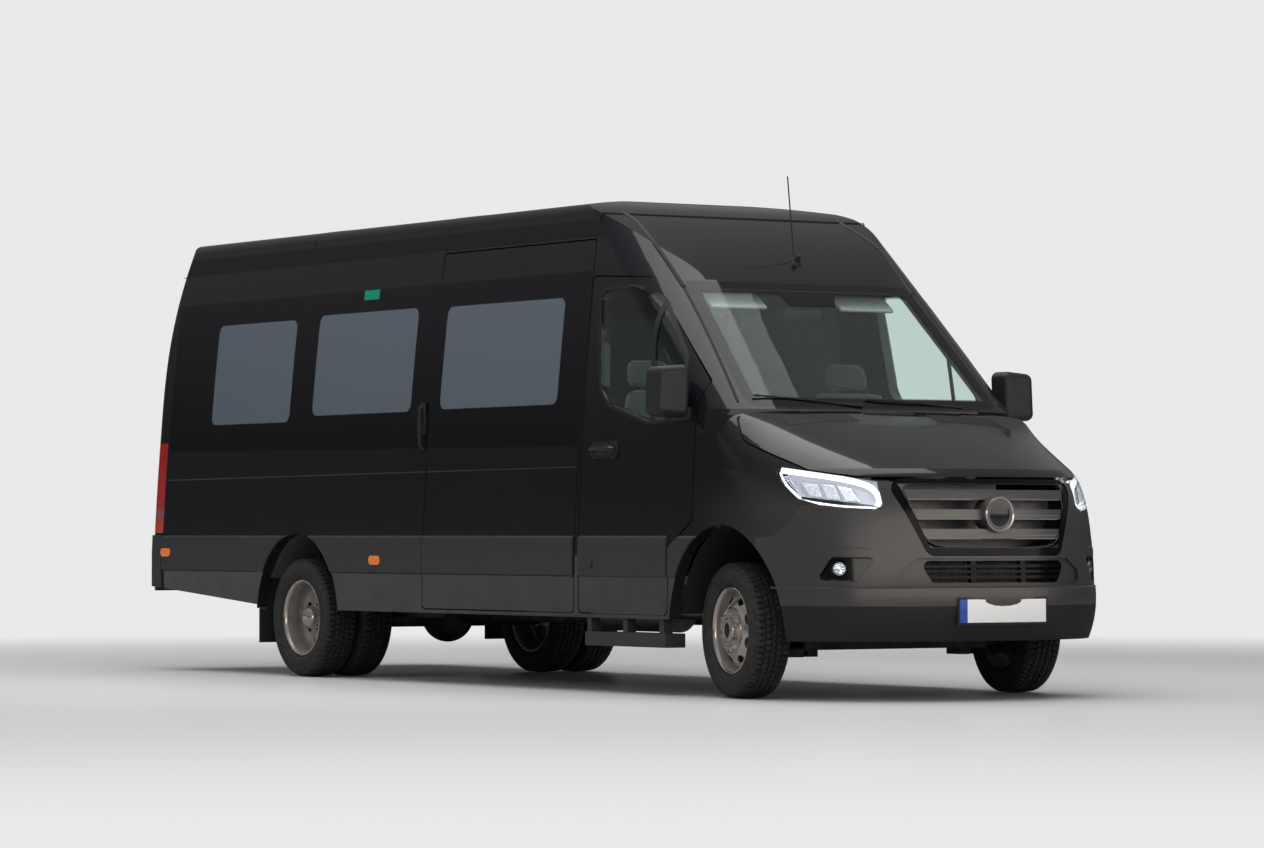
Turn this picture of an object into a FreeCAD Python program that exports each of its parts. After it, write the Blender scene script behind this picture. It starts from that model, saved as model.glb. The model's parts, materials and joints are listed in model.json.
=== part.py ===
import FreeCAD, Part
import math
import os
from FreeCAD import Vector

# A long high-roof minibus with twin rear wheels, in millimetres.
# +X points forward, +Y to the vehicle's left, +Z up.
# The origin lies on the ground at the middle of the length and width.

# Driving dimensions of the whole vehicle
wheelbase = 4325.0
front_overhang = 1005.0
rear_overhang = 1910.0
half_width_body = 1000.0
sill_height = 383.0
waist_height = 1430.0
roof_height = 2590.0
gutter_height = 2345.0
crease_height = 700.0
lean_linear = 0.045
lean_square = 2.7e-5
rear_step_depth = 80.0
rear_lean_start = 1700.0
rear_lean = 3.2e-4
rear_corner_radius = 70.0
rear_sill_step = 22.0
rear_sill_rise = 109.0
rear_step_height = 78.0

# Walls, gaps and fits
wall = 60.0
skin = 28.0
glass_thickness = 8.0
glass_sink = 3.0
panel_gap = 7.0
glass_clearance = 0.3
lamp_clearance = 0.4
nose_joint = 1.0
seat_clearance = 0.3
rear_door_gap = 20.0
scoop_depth = 12.0

# Nose and windscreen, as distances ahead of the front axle
windscreen_foot = -20.0
windscreen_run = 715.0
windscreen_rise = 666.0
waist_corner = 100.0
pillar_depth = 300.0
pillar_width = 95.0
pillar_power = 8.0
cap_radius = 1780.0
antenna_back = 900.0
antenna_y = 80.0
antenna_length = 440.0
antenna_lean = 58.0

# Wheels and steering
tyre_radius = 335.0
tyre_width = 205.0
rim_radius = 215.0
rim_width = 160.0
rim_inner_radius = 196.0
front_wheel_y = 822.0
rear_outer_y = 880.0
twin_spacing = 235.0
kingpin_y = 735.0
steer_rest_deg = -9.0
pin_radius = 22.0
pin_fit = 0.05
arm_bottom = 200.0
arm_top = 242.0
spring_y = 608.0
liner_thickness = 4.0
hub_radius = 62.0

wheel_ring = 195.0
column_lean = math.radians(32.0)
driver_y = 500.0

# Chassis
rail_y = 400.0
rail_width = 80.0
rail_bottom = 400.0
floor_bottom = 556.0
rail_top = floor_bottom
floor_top = 600.0
floor_setback = 10.0

# Side openings, as distances behind the front axle
door_front = 245.0
door_rear = 1283.0
door_rear_lean = 43.0
door_top = 2140.0
slide_front = 1340.0
slide_rear = 2889.0
pane_split = 4390.0
band_bottom = 1275.0
band_top = 2172.0
cladding_top = 801.0
cladding_bottom = 590.0
cladding_proud = 9.0
trim_proud = 12.0
trim_gap = 0.4
lamp_depth = 40.0
lamp_length = 160.0
marker_half_length = 60.0
marker_half_height = 25.0

# Wheel arches
arch_half_length = 455.0
arch_top = 855.0
rear_arch_half_length = 478.0
rear_arch_top = 815.0
front_arch_shift = 20.0
front_well_inner = 515.0
rear_well_inner = 500.0
flap_bottom = 185.0

length = front_overhang + wheelbase + rear_overhang
front_axle = length / 2 - front_overhang
rear_axle = front_axle - wheelbase
tail_face = rear_axle - rear_overhang + rear_step_depth
wide = half_width_body + 300.0
tall = roof_height + 300.0


def ahead(distance):
    return front_axle + distance


def behind(distance):
    return front_axle - distance


# Basic shapes

def box(x0, x1, y0, y1, z0, z1):
    return Part.makeBox(x1 - x0, y1 - y0, z1 - z0, Vector(x0, y0, z0))


def cylinder(start, end, radius):
    axis = end.sub(start)
    return Part.makeCylinder(radius, axis.Length, start, axis)


def mirrored(shape):
    return shape.mirror(Vector(0, 0, 0), Vector(0, 1, 0))


def both_sides(shape):
    return Part.makeCompound([shape, mirrored(shape)])


def fuse_all(shapes):
    whole = shapes[0]
    if len(shapes) > 1:
        whole = whole.multiFuse(shapes[1:])
    return whole.removeSplitter()


def rounded_outline(points, radius):
    # A closed outline through the points with each corner rounded by a tangent arc.
    edges = []
    starts = []
    ends = []
    count = len(points)
    for i in range(count):
        here = points[i]
        before = points[i - 1].sub(here).normalize()
        after = points[(i + 1) % count].sub(here).normalize()
        half = before.getAngle(after) / 2
        reach = radius / math.tan(half)
        bisector = before.add(after).normalize()
        middle = here.add(bisector.multiply(radius / math.sin(half) - radius))
        first = here.add(before.multiply(reach))
        last = here.add(after.multiply(reach))
        starts.append(first)
        ends.append(last)
        edges.append(Part.Arc(first, middle, last).toShape())
    for i in range(count):
        edges.append(Part.LineSegment(ends[i], starts[(i + 1) % count]).toShape())
    return Part.Wire(Part.__sortEdges__(edges))


def outline(points, radius):
    if radius > 0:
        return rounded_outline(points, radius)
    return Part.makePolygon(points + [points[0]])


def prism_y(points, y0, y1, radius=0.0):
    # A side-view outline of (x, z) points, drawn out across the vehicle.
    wire = outline([Vector(x, y0, z) for x, z in points], radius)
    return Part.Face(wire).extrude(Vector(0, y1 - y0, 0))


def prism_x(points, x0, x1, radius=0.0):
    # A front-view outline of (y, z) points, drawn out along the vehicle.
    wire = outline([Vector(x0, y, z) for y, z in points], radius)
    return Part.Face(wire).extrude(Vector(x1 - x0, 0, 0))


def prism_z(points, z0, z1, radius=0.0):
    # A plan outline of (x, y) points, drawn upwards.
    wire = outline([Vector(x, y, z0) for x, y in points], radius)
    return Part.Face(wire).extrude(Vector(0, 0, z1 - z0))


def turned(points, centre):
    # A (radius, y) outline turned round the wheel axis through the centre.
    wire = outline([Vector(centre.x, y, centre.z + r) for r, y in points], 0.0)
    return Part.Face(wire).revolve(centre, Vector(0, 1, 0), 360)


def shifted(points, grow):
    # The same outline moved out all round by a small amount, from its own middle.
    middle_a = sum(p[0] for p in points) / len(points)
    middle_b = sum(p[1] for p in points) / len(points)
    moved = []
    for a, b in points:
        step_a = grow if a > middle_a else -grow
        step_b = grow if b > middle_b else -grow
        moved.append((a + step_a, b + step_b))
    return moved


# Body surfaces

def side_at(z):
    # Half width of the body at a height: upright below the crease, leaning in above it.
    rise = max(0.0, z - crease_height)
    return half_width_body - lean_linear * rise - lean_square * rise * rise


def tail_at(z):
    rise = max(0.0, z - rear_lean_start)
    return tail_face + rear_lean * rise * rise


def plan_outline(z, tip, shoulder, power, inset):
    # One level slice of the body: a rounded nose, straight sides and a rounded tail.
    half = side_at(z) - inset
    front = ahead(tip) - inset
    corner = ahead(shoulder) - inset
    rear = tail_at(z) + inset
    radius = rear_corner_radius - inset / 2
    steps = 10
    nose = []
    for i in range(steps + 1):
        angle = math.pi * (i / steps - 0.5)
        across = math.copysign(abs(math.sin(angle)) ** (2 / power), angle)
        nose.append(Vector(corner + (front - corner) * math.cos(angle), half * across, z))
    curve = Part.BSplineCurve()
    curve.interpolate(nose)
    bend = radius * (1 - math.sqrt(0.5))
    left_end = Vector(rear + radius, half, z)
    left_mid = Vector(rear + bend, half - bend, z)
    left_back = Vector(rear, half - radius, z)
    right_back = Vector(rear, radius - half, z)
    right_mid = Vector(rear + bend, bend - half, z)
    right_end = Vector(rear + radius, -half, z)
    edges = [curve.toShape()]
    edges.append(Part.LineSegment(nose[-1], left_end).toShape())
    edges.append(Part.Arc(left_end, left_mid, left_back).toShape())
    edges.append(Part.LineSegment(left_back, right_back).toShape())
    edges.append(Part.Arc(right_back, right_mid, right_end).toShape())
    edges.append(Part.LineSegment(right_end, nose[0]).toShape())
    return Part.Wire(edges)


# Level slices of the nose: height, tip and shoulder ahead of the front axle, squareness
bumper_levels = [(290.0, 935.0, 60.0, 2.7), (430.0, 1000.0, 100.0, 2.7), (551.0, 1000.0, 100.0, 2.7)]
face_levels = [(551.0, 985.0, 100.0, 2.7), (711.0, 975.0, 100.0, 2.65), (945.0, 950.0, 90.0, 2.45),
               (1060.0, 915.0, 50.0, 2.3), (1127.0, 860.0, 0.0, 2.15)]
bonnet_levels = [(1127.0, 860.0, 0.0, 2.15), (1197.0, 668.0, -12.0, 2.1), (1258.0, 495.0, -38.0, 2.0),
                 (1358.0, 195.0, -75.0, 1.9), (waist_height, windscreen_foot, -120.0, 1.9)]


def windscreen_at(z):
    return windscreen_foot - (z - waist_height) * windscreen_run / windscreen_rise


def level_loft(levels, inset):
    wires = [plan_outline(z, tip, shoulder, power, inset) for z, tip, shoulder, power in levels]
    return Part.makeLoft(wires, True, False)


def roof_crown(inset):
    # Front view of the space under the roof skin, with a small step in at the gutter.
    top = roof_height - inset
    edge = side_at(gutter_height) - 5 - inset
    eave = edge - 9
    bottom = waist_height - 200
    low = Vector(0, -wide, bottom)
    points = [Vector(0, -wide, gutter_height), Vector(0, -edge, gutter_height),
              Vector(0, -eave, gutter_height + 105)]
    corner = Vector(0, -eave + 14, roof_height - 88 - inset)
    shoulder = Vector(0, -eave + 54, roof_height - 58 - inset)
    edges = [Part.LineSegment(low, points[0]).toShape()]
    edges.append(Part.LineSegment(points[0], points[1]).toShape())
    edges.append(Part.LineSegment(points[1], points[2]).toShape())
    edges.append(Part.Arc(points[2], corner, shoulder).toShape())
    over = Vector(0, -shoulder.y, shoulder.z)
    edges.append(Part.Arc(shoulder, Vector(0, 0, top), over).toShape())
    corner_far = Vector(0, -corner.y, corner.z)
    far = [Vector(0, -p.y, p.z) for p in points]
    edges.append(Part.Arc(over, corner_far, far[2]).toShape())
    edges.append(Part.LineSegment(far[2], far[1]).toShape())
    edges.append(Part.LineSegment(far[1], far[0]).toShape())
    low_far = Vector(0, wide, bottom)
    edges.append(Part.LineSegment(far[0], low_far).toShape())
    edges.append(Part.LineSegment(low_far, low).toShape())
    face = Part.Face(Part.Wire(edges))
    face.translate(Vector(-length, 0, 0))
    return face.extrude(Vector(2 * length, 0, 0))


def roof_profile(inset):
    # Side view of the space under the roof: a curved cap over the cab and a rounded tail.
    top = roof_height - 5 - inset
    slope = math.atan2(windscreen_rise, windscreen_run)
    drop = cap_radius * (1 - math.cos(slope))
    start_z = roof_height - 5 - drop
    start_x = ahead(windscreen_at(start_z)) - inset * math.sin(slope)
    start = Vector(start_x, 0, start_z - inset * math.cos(slope))
    radius = cap_radius - inset
    crest = Vector(start.x - radius * math.sin(slope), 0, top)
    mid = Vector(crest.x + radius * math.sin(slope / 2), 0, top - radius * (1 - math.cos(slope / 2)))
    tail_z = roof_height - 160 - inset
    tail_low = Vector(tail_at(tail_z) + 5 + inset, 0, tail_z)
    tail_top = Vector(tail_low.x + 240, 0, top)
    tail_mid = Vector(tail_low.x + 70, 0, top - 48)
    far_front = ahead(front_overhang + 300)
    far_rear = tail_face - 300
    low = waist_height - 200
    corners = [Vector(far_rear, 0, tail_z), Vector(far_rear, 0, low),
               Vector(far_front, 0, low), Vector(far_front, 0, start.z)]
    edges = [Part.LineSegment(corners[3], start).toShape(), Part.Arc(start, mid, crest).toShape(),
             Part.LineSegment(crest, tail_top).toShape(), Part.Arc(tail_top, tail_mid, tail_low).toShape(),
             Part.LineSegment(tail_low, corners[0]).toShape()]
    for i in range(3):
        edges.append(Part.LineSegment(corners[i], corners[i + 1]).toShape())
    face = Part.Face(Part.Wire(edges))
    face.translate(Vector(0, -wide, 0))
    return face.extrude(Vector(0, 2 * wide, 0))


def upper_body(inset):
    levels = []
    for i in range(5):
        z = waist_height + i * (roof_height + 80 - waist_height) / 4
        tip = windscreen_at(z)
        levels.append((z, tip, tip - pillar_depth, pillar_power))
    return level_loft(levels, inset).common(roof_crown(inset)).common(roof_profile(inset))


def lower_body(inset):
    zones = [level_loft(levels, inset) for levels in (bumper_levels, face_levels, bonnet_levels)]
    return zones


def cabin_outer(inset):
    # The body behind the nose, from the sill to the roof; its corners narrow up to the windscreen foot.
    corners = (waist_corner, waist_corner, 1.5 * waist_corner, pillar_depth)
    upright = [(z, windscreen_foot, windscreen_foot - waist_corner, pillar_power)
               for z in (sill_height - 100, crease_height)]
    step = (waist_height - crease_height) / (len(corners) - 1)
    leaning = []
    for i, corner in enumerate(corners):
        leaning.append((crease_height + i * step, windscreen_foot, windscreen_foot - corner, pillar_power))
    return fuse_all([level_loft(upright, inset), level_loft(leaning, inset), upper_body(inset)])


outer = cabin_outer(0.0)
inner = cabin_outer(wall)
glass_out = cabin_outer(glass_sink)
glass_in = cabin_outer(glass_sink + glass_thickness)
pane_back = cabin_outer(glass_thickness)
trim_out = cabin_outer(-trim_proud)
trim_in = cabin_outer(-trim_gap)
lamp_back = cabin_outer(lamp_depth)
nose_solid = fuse_all(lower_body(0.0))
nose_inner = fuse_all(lower_body(skin))

shell = outer.cut(inner)
front_limit = ahead(front_overhang + 100)
nose_region = box(ahead(windscreen_foot) + nose_joint, front_limit, -wide, wide, 0, waist_height + 5)
nose_body = nose_solid.common(nose_region)
nose_shell = nose_body.cut(nose_inner)


def arch(centre_x, half_length, top, y0, y1, grow=0.0):
    # A wheel opening: upright legs below the axle and an elliptical crown.
    half = half_length + grow
    rise = top + grow - tyre_radius
    legs = box(centre_x - half, centre_x + half, y0, y1, 0, tyre_radius)
    crown = Part.makeCylinder(half, y1 - y0, Vector(0, 0, 0), Vector(0, 1, 0))
    matrix = FreeCAD.Matrix()
    matrix.scale(1.0, 1.0, rise / half)
    crown = crown.transformGeometry(matrix)
    crown.translate(Vector(centre_x, y0, tyre_radius))
    return legs.fuse(crown)


front_arch_x = ahead(front_arch_shift)
rear_arch_x = rear_axle + 10
front_arches = both_sides(arch(front_arch_x, arch_half_length, arch_top, -wide, -front_well_inner))
rear_arches = both_sides(arch(rear_arch_x, rear_arch_half_length, rear_arch_top, -wide, -rear_well_inner))

# Outlines seen from the side, as distances behind the front axle
def pillar_line(z):
    return ahead(windscreen_at(z) - pillar_width)


door_points = [(behind(door_rear), sill_height + 25), (behind(door_rear + door_rear_lean), door_top),
               (pillar_line(2104) - 25, door_top - 22), (pillar_line(2050), 2050.0), (pillar_line(1565), 1565.0),
               (behind(door_front), 880.0), (behind(445), 745.0), (behind(455), sill_height + 25)]
door_glass_points = [(behind(1235), 2060.0), (behind(930), 2072.0), (pillar_line(1990) - 25, 2005.0),
                     (pillar_line(1690) - 45, 1690.0), (behind(345), 1400.0), (behind(690), 1375.0),
                     (behind(1080), 1478.0), (behind(1165), 1560.0)]
slide_points = [(behind(slide_rear), sill_height + 25), (behind(slide_rear), gutter_height - 12),
                (behind(slide_front), gutter_height - 12), (behind(slide_front), sill_height + 25)]
slide_pane = [(behind(slide_rear - 8), band_bottom), (behind(slide_rear - 8), band_top),
              (behind(slide_front + 8), band_top), (behind(slide_front + 8), band_bottom - 12)]
slide_window = [(behind(2790), 1485.0), (behind(2780), 2042.0), (behind(1580), 2042.0), (behind(1612), 1495.0)]
middle_pane = [(behind(pane_split - 3), band_bottom + 12), (behind(pane_split - 3), band_top),
               (behind(slide_rear + 14), band_top), (behind(slide_rear + 14), band_bottom)]
middle_window = [(behind(4240), 1480.0), (behind(4190), 2050.0), (behind(3110), 2050.0), (behind(3130), 1480.0)]
rear_pane_end = wheelbase + rear_overhang - rear_step_depth - lamp_length - 5.0
rear_pane = [(behind(rear_pane_end), band_bottom + 22), (behind(rear_pane_end), band_top),
             (behind(pane_split + 3), band_top), (behind(pane_split + 3), band_bottom + 12)]
rear_window = [(behind(5460), 1450.0), (behind(5430), 2036.0), (behind(4500), 2036.0), (behind(4500), 1450.0)]


def side_slot(points, grow=0.0, radius=0.0):
    # Everything on the right-hand side within a side-view outline.
    return prism_y(shifted(points, grow), -wide, -700.0, radius)


def pane(points, radius):
    # A bonded window pane that follows the leaning side.
    return outer.common(side_slot(points, 0.0, radius)).cut(pane_back)


# Doors

door_inner_y = side_at(door_top) - wall - 2
door_slot = prism_y(door_points, -wide, -door_inner_y, 30.0)
door_slot_wide = prism_y(shifted(door_points, panel_gap), -wide, panel_gap - door_inner_y, 30.0)
slide_slot = side_slot(slide_points, 0.0, 25.0)
slide_slot_wide = side_slot(shifted(slide_points, panel_gap), 0.0, 25.0)


def front_door():
    door = shell.common(door_slot)
    door = door.cut(side_slot(door_glass_points, 0.0, 45.0))
    return door.cut(arch(front_arch_x, arch_half_length, arch_top, -wide, -front_well_inner, panel_gap))


def front_door_glass():
    points = shifted(door_glass_points, -glass_clearance)
    return glass_out.common(side_slot(points, 0.0, 45.0)).cut(glass_in)


def mirror_and_trim():
    # The door mirror on its arm, the pull handle, the cladding band and its side marker.
    outer_y = half_width_body + 172.0
    head = prism_x([(-outer_y, 1400.0), (-outer_y + 12, 1640.0), (-outer_y + 200, 1656.0),
                    (-outer_y + 190, 1385.0)], behind(385), behind(265), 38.0)
    front_edges = [edge for edge in head.Edges if edge.BoundBox.XMin > behind(266)]
    head = head.makeFillet(34.0, front_edges)
    arm = prism_x([(-outer_y + 110, 1372.0), (-outer_y + 110, 1440.0), (-side_at(waist_height) + wall, 1440.0),
                   (-side_at(waist_height) + wall, 1385.0)], behind(375), behind(305)).cut(trim_in)
    handle = prism_y([(behind(1205), 1195.0), (behind(1205), 1285.0), (behind(950), 1285.0),
                      (behind(950), 1195.0)], -wide, -900.0, 42.0)
    grip = trim_out.common(handle).cut(trim_in)
    band = cladding_band(behind(door_rear + 2), behind(455))
    return Part.makeCompound([fuse_all([head, arm]), grip, band, side_marker(1200.0, 660.0)])


def side_marker(distance, z):
    # A small oval lamp on the cladding band.
    y_face = -half_width_body - cladding_proud - seat_clearance
    rear, front = behind(distance + marker_half_length), behind(distance - marker_half_length)
    low, high = z - marker_half_height, z + marker_half_height
    points = [(rear, low), (rear, high), (front, high), (front, low)]
    return prism_y(points, y_face - 6, y_face, marker_half_height - 1)


def cladding_band(x0, x1):
    # A stretch of the dark side moulding, proud of the body side.
    y_out = half_width_body + cladding_proud
    y_in = half_width_body + seat_clearance
    points = [(-y_in, cladding_bottom), (-y_out, cladding_bottom + 10), (-y_out, cladding_top - 12),
              (-side_at(cladding_top) - seat_clearance, cladding_top), (-y_in, crease_height)]
    return prism_x(points, x0, x1)


def sliding_door():
    door = shell.common(slide_slot)
    door = door.cut(side_slot(slide_window, 0.0, 55.0))
    return door.cut(side_slot(slide_pane, 0.0, 20.0).cut(pane_back))


# Fixed body panels

def window_cuts(side_shape, panes_and_windows):
    for pane_points, window_points in panes_and_windows:
        side_shape = side_shape.cut(side_slot(window_points, 0.0, 55.0))
        side_shape = side_shape.cut(side_slot(pane_points, 0.0, 20.0).cut(pane_back))
    return side_shape


lamp_bottom = 817.0
lamp_top = 1351.0
lamp_inner_y = 880.0
rear_door_top = 2200.0
rear_door_bottom = 560.0
rear_door_half = 870.0
rear_door_half_top = side_at(rear_door_top) - wall - 12
rear_opening = [(-rear_door_half, rear_door_bottom), (-rear_door_half_top, rear_door_top),
                (rear_door_half_top, rear_door_top), (rear_door_half, rear_door_bottom)]
rear_cut = prism_x(shifted(rear_opening, panel_gap), tail_face - 50, tail_at(rear_door_top) + 150, 30.0)


def body_side():
    # Right-hand side from the roof gutter down to the sill, behind the front door.
    region = box(tail_face - 200, behind(slide_front - panel_gap), -wide, -700.0, sill_height, gutter_height)
    side = shell.common(region).cut(rear_cut)
    recess = lamp_column(0.0).cut(lamp_back)
    return side.cut(rear_arches).cut(recess).cut(rear_sweep())


def rear_sweep():
    # What the rising lower edge behind the rear wheels leaves off.
    start = rear_arch_x - rear_arch_half_length
    low = sill_height - 100
    high = sill_height + rear_sill_step
    points = [(start, low), (start, high), (tail_face - 200, high + rear_sill_rise), (tail_face - 200, low)]
    return prism_y(points, -wide, wide)


def lamp_column(shrink):
    # The upright space of the rear lamp on the right-hand corner.
    return box(tail_face - 50, tail_face + lamp_length - shrink, -wide, -lamp_inner_y - shrink,
               lamp_bottom + shrink, lamp_top - shrink)


def rear_lamps():
    lamp = outer.common(lamp_column(seat_clearance)).cut(lamp_back)
    return both_sides(lamp)


left_slide_window = (slide_pane, slide_window)
rear_windows = [(middle_pane, middle_window), (rear_pane, rear_window)]


def side_right():
    side = body_side().cut(slide_slot_wide)
    return window_cuts(side, rear_windows)


def side_left():
    side = body_side()
    side = window_cuts(side, [left_slide_window] + rear_windows)
    return mirrored(side)


def roof():
    region = box(tail_face - 200, behind(slide_front - panel_gap), -wide, wide, gutter_height, tall)
    tail = box(tail_face - 200, tail_at(gutter_height) + 200, -700, 700, rear_door_top + panel_gap, gutter_height)
    top = shell.common(fuse_all([region, tail.common(box(tail_face - 200, tail_face + 400, -wide, wide, 0, tall))]))
    return top


screen_slope = math.atan2(windscreen_rise, windscreen_run)
cap_front_z = roof_height - 5 - cap_radius * (1 - math.cos(screen_slope))
crest_back = cap_radius * math.sin(screen_slope) - windscreen_at(cap_front_z)


def roof_cap_region():
    # Over the cab, from the windscreen header to the first roof seam.
    seam = behind(slide_front - panel_gap)
    return prism_y([(seam, door_top + 60), (seam, tall), (ahead(0), tall), (ahead(0), cap_front_z),
                    (behind(640), cap_front_z), (behind(800), door_top + 60)], -wide, wide)


def roof_cap():
    return shell.common(roof_cap_region())


screen_points = [(-775.0, waist_height + 12), (-705.0, cap_front_z - 8), (705.0, cap_front_z - 8),
                 (775.0, waist_height + 12)]


def windscreen():
    slot = prism_x(screen_points, behind(1300), ahead(400), 50.0)
    return outer.common(slot).cut(pane_back)


side_well = half_width_body - wall


def cab_frame():
    # Pillars, cant rails and the bulkhead round the cab doors and the windscreen.
    region = box(behind(slide_front - panel_gap), ahead(100), -wide, wide, sill_height, tall)
    frame = shell.common(region)
    frame = frame.cut(roof_cap_region()).cut(both_sides(door_slot_wide))
    frame = frame.cut(prism_x(screen_points, behind(1300), ahead(400), 50.0).cut(pane_back))
    frame = frame.cut(prism_x([(-735.0, waist_height + 50), (-660.0, cap_front_z - 45),
                               (660.0, cap_front_z - 45), (735.0, waist_height + 50)],
                              behind(1300), ahead(400), 50.0))
    frame = frame.cut(both_sides(wing_pocket()))
    under = box(behind(200), ahead(100), -side_well, side_well, 0, floor_bottom)
    front_face = box(ahead(windscreen_foot) + nose_joint / 2, front_limit, -wide, wide, 0, waist_height)
    return frame.cut(front_arches).cut(under).cut(front_face)


def rear_door(side):
    # One rear door, with the window cut; side is -1 on the right.
    y_in = side * rear_door_gap / 2
    slab = prism_x([(y_in, rear_door_bottom), (y_in, rear_door_top), (side * rear_door_half_top, rear_door_top),
                    (side * rear_door_half, rear_door_bottom)], tail_face - 50, tail_at(rear_door_top) + 150, 25.0)
    door = shell.common(slab)
    return door.cut(rear_window_slot(side, 0.0))


def rear_window_slot(side, shrink):
    y_in = side * (110.0 + shrink)
    y_out = side * (700.0 - shrink)
    low, high = min(y_in, y_out), max(y_in, y_out)
    return prism_x([(low, 1330.0 + shrink), (low, 2060.0 - shrink), (high, 2060.0 - shrink),
                    (high, 1330.0 + shrink)], tail_face - 50, tail_at(rear_door_top) + 150, 50.0)


def rear_door_glass(side):
    return glass_out.common(rear_window_slot(side, glass_clearance)).cut(glass_in)


# Nose

shut_line = [(windscreen_foot + 12, 1395.0), (110.0, 1275.0), (151.0, 1254.0), (300.0, 1198.0),
             (446.0, 1146.0), (510.0, 1122.0), (720.0, 1088.0), (front_overhang + 100, 1086.0)]


def above_shut_line(lower):
    points = [(ahead(x), z - lower) for x, z in shut_line]
    points.append((front_limit, tall))
    points.append((ahead(shut_line[0][0]), tall))
    return prism_y(points, -wide, wide)


lamp_points = [(-380.0, 1139.0), (-363.0, 1080.0), (-253.0, 982.0), (-103.0, 940.0), (118.0, 922.0),
               (165.0, 948.0), (132.0, 1066.0)]
fog_points = [(-78.0, 699.0), (146.0, 697.0), (48.0, 578.0), (-150.0, 588.0)]
air_points = [(-378.0, 573.0), (-440.0, 680.0), (440.0, 680.0), (378.0, 573.0)]
scoop_points = [(-640.0, 568.0), (-450.0, 692.0), (450.0, 692.0), (640.0, 568.0)]


def corner_prism(points, grow, radius, y_reach=500.0, depth=900.0):
    # An outline on the right-hand corner, seen square on from 45 degrees, drawn inwards.
    diagonal = Vector(1, -1, 0).normalize()
    along = Vector(1, 1, 0).normalize()
    corners = []
    for u, z in shifted(points, grow):
        place = Vector(along).multiply(u)
        corners.append(Vector(ahead(0) + place.x, place.y, z).add(Vector(diagonal).multiply(y_reach)))
    wire = rounded_outline(corners, radius)
    return Part.Face(wire).extrude(Vector(diagonal).multiply(depth))


lamp_hole = corner_prism(lamp_points, 0.0, 14.0)
lamp_holes = both_sides(lamp_hole)
grille_points = [(-568.0, 1078.0), (-400.0, 702.0), (400.0, 702.0), (568.0, 1078.0)]
seam_points = [(540.0, 948.0), (474.0, 847.0), (401.0, 797.0), (300.0, 789.0)]


def bonnet():
    lid = nose_shell.common(above_shut_line(0.0))
    return lid.cut(box(behind(50), ahead(shut_line[0][0]), -wide, wide, 0, tall))


wing_foot_bottom = cladding_bottom
wing_foot_top = waist_height - 120


def wing_pocket():
    # The space in the cab side that the rear edge of the wing covers.
    depth = skin + seat_clearance
    points = [(-wide, wing_foot_bottom), (-wide, wing_foot_top), (depth - side_at(wing_foot_top), wing_foot_top),
              (depth - side_at(crease_height), crease_height), (depth - side_at(0), wing_foot_bottom)]
    return prism_x(points, behind(door_front - panel_gap), ahead(windscreen_foot))


def wing_region():
    points = [(ahead(windscreen_foot), sill_height), (ahead(windscreen_foot), tall), (ahead(720), tall),
              (ahead(720), 960.0)]
    for x, z in seam_points:
        points.append((ahead(x), z))
    points.append((ahead(seam_points[-1][0]), sill_height))
    return prism_y(points, -wide, -500.0)


def wing():
    flank = nose_shell.common(wing_region())
    flank = flank.cut(above_shut_line(panel_gap)).cut(lamp_hole)
    foot = nose_solid.common(box(behind(door_front - panel_gap), ahead(windscreen_foot), -wide, -700.0,
                                 wing_foot_bottom, wing_foot_top))
    foot = foot.cut(nose_inner).cut(door_slot_wide)
    return fuse_all([flank, foot]).cut(front_arches)


def fog_lamp():
    # A round lamp in its dished cup, sunk into the corner of the bumper.
    cup = nose_body.common(corner_prism(fog_points, -seat_clearance, 18.0)).cut(fuse_all(lower_body(75.0)))
    return cup.common(fuse_all(lower_body(34.0)))


def lower_grille():
    # Two bars and two posts across the lower air opening.
    front = level_loft(face_levels, 14.0)
    back = level_loft(face_levels, 44.0)
    opening = prism_x(shifted(air_points, -seat_clearance), ahead(500), front_limit, 30.0)
    bars = [box(ahead(500), front_limit, -wide, wide, z - 7, z + 7) for z in (600.0, 627.0, 654.0)]
    bars += [box(ahead(500), front_limit, y - 16, y + 16, 560, 700) for y in (-150.0, 150.0)]
    return fuse_all(bars).common(opening).common(front).cut(back)


def front_bumper():
    region = box(ahead(300), front_limit, -wide, wide, 290.0, 1062.0)
    cover = nose_shell.common(region).cut(both_sides(corner_prism(fog_points, 0.0, 18.0)))
    cover = cover.cut(both_sides(wing_region())).cut(above_shut_line(panel_gap)).cut(lamp_holes)
    cover = cover.cut(prism_x(grille_points, ahead(500), front_limit, 60.0))
    cover = cover.cut(prism_x(scoop_points, ahead(500), front_limit, 40.0).cut(level_loft(face_levels, scoop_depth)))
    air = prism_x(air_points, ahead(500), front_limit, 30.0)
    return cover.cut(air).cut(front_arches)


def headlamps():
    lens = nose_body.common(corner_prism(lamp_points, -lamp_clearance, 14.0)).cut(fuse_all(lower_body(70.0)))
    return both_sides(Part.makeCompound([lens, fog_lamp()]))


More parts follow.
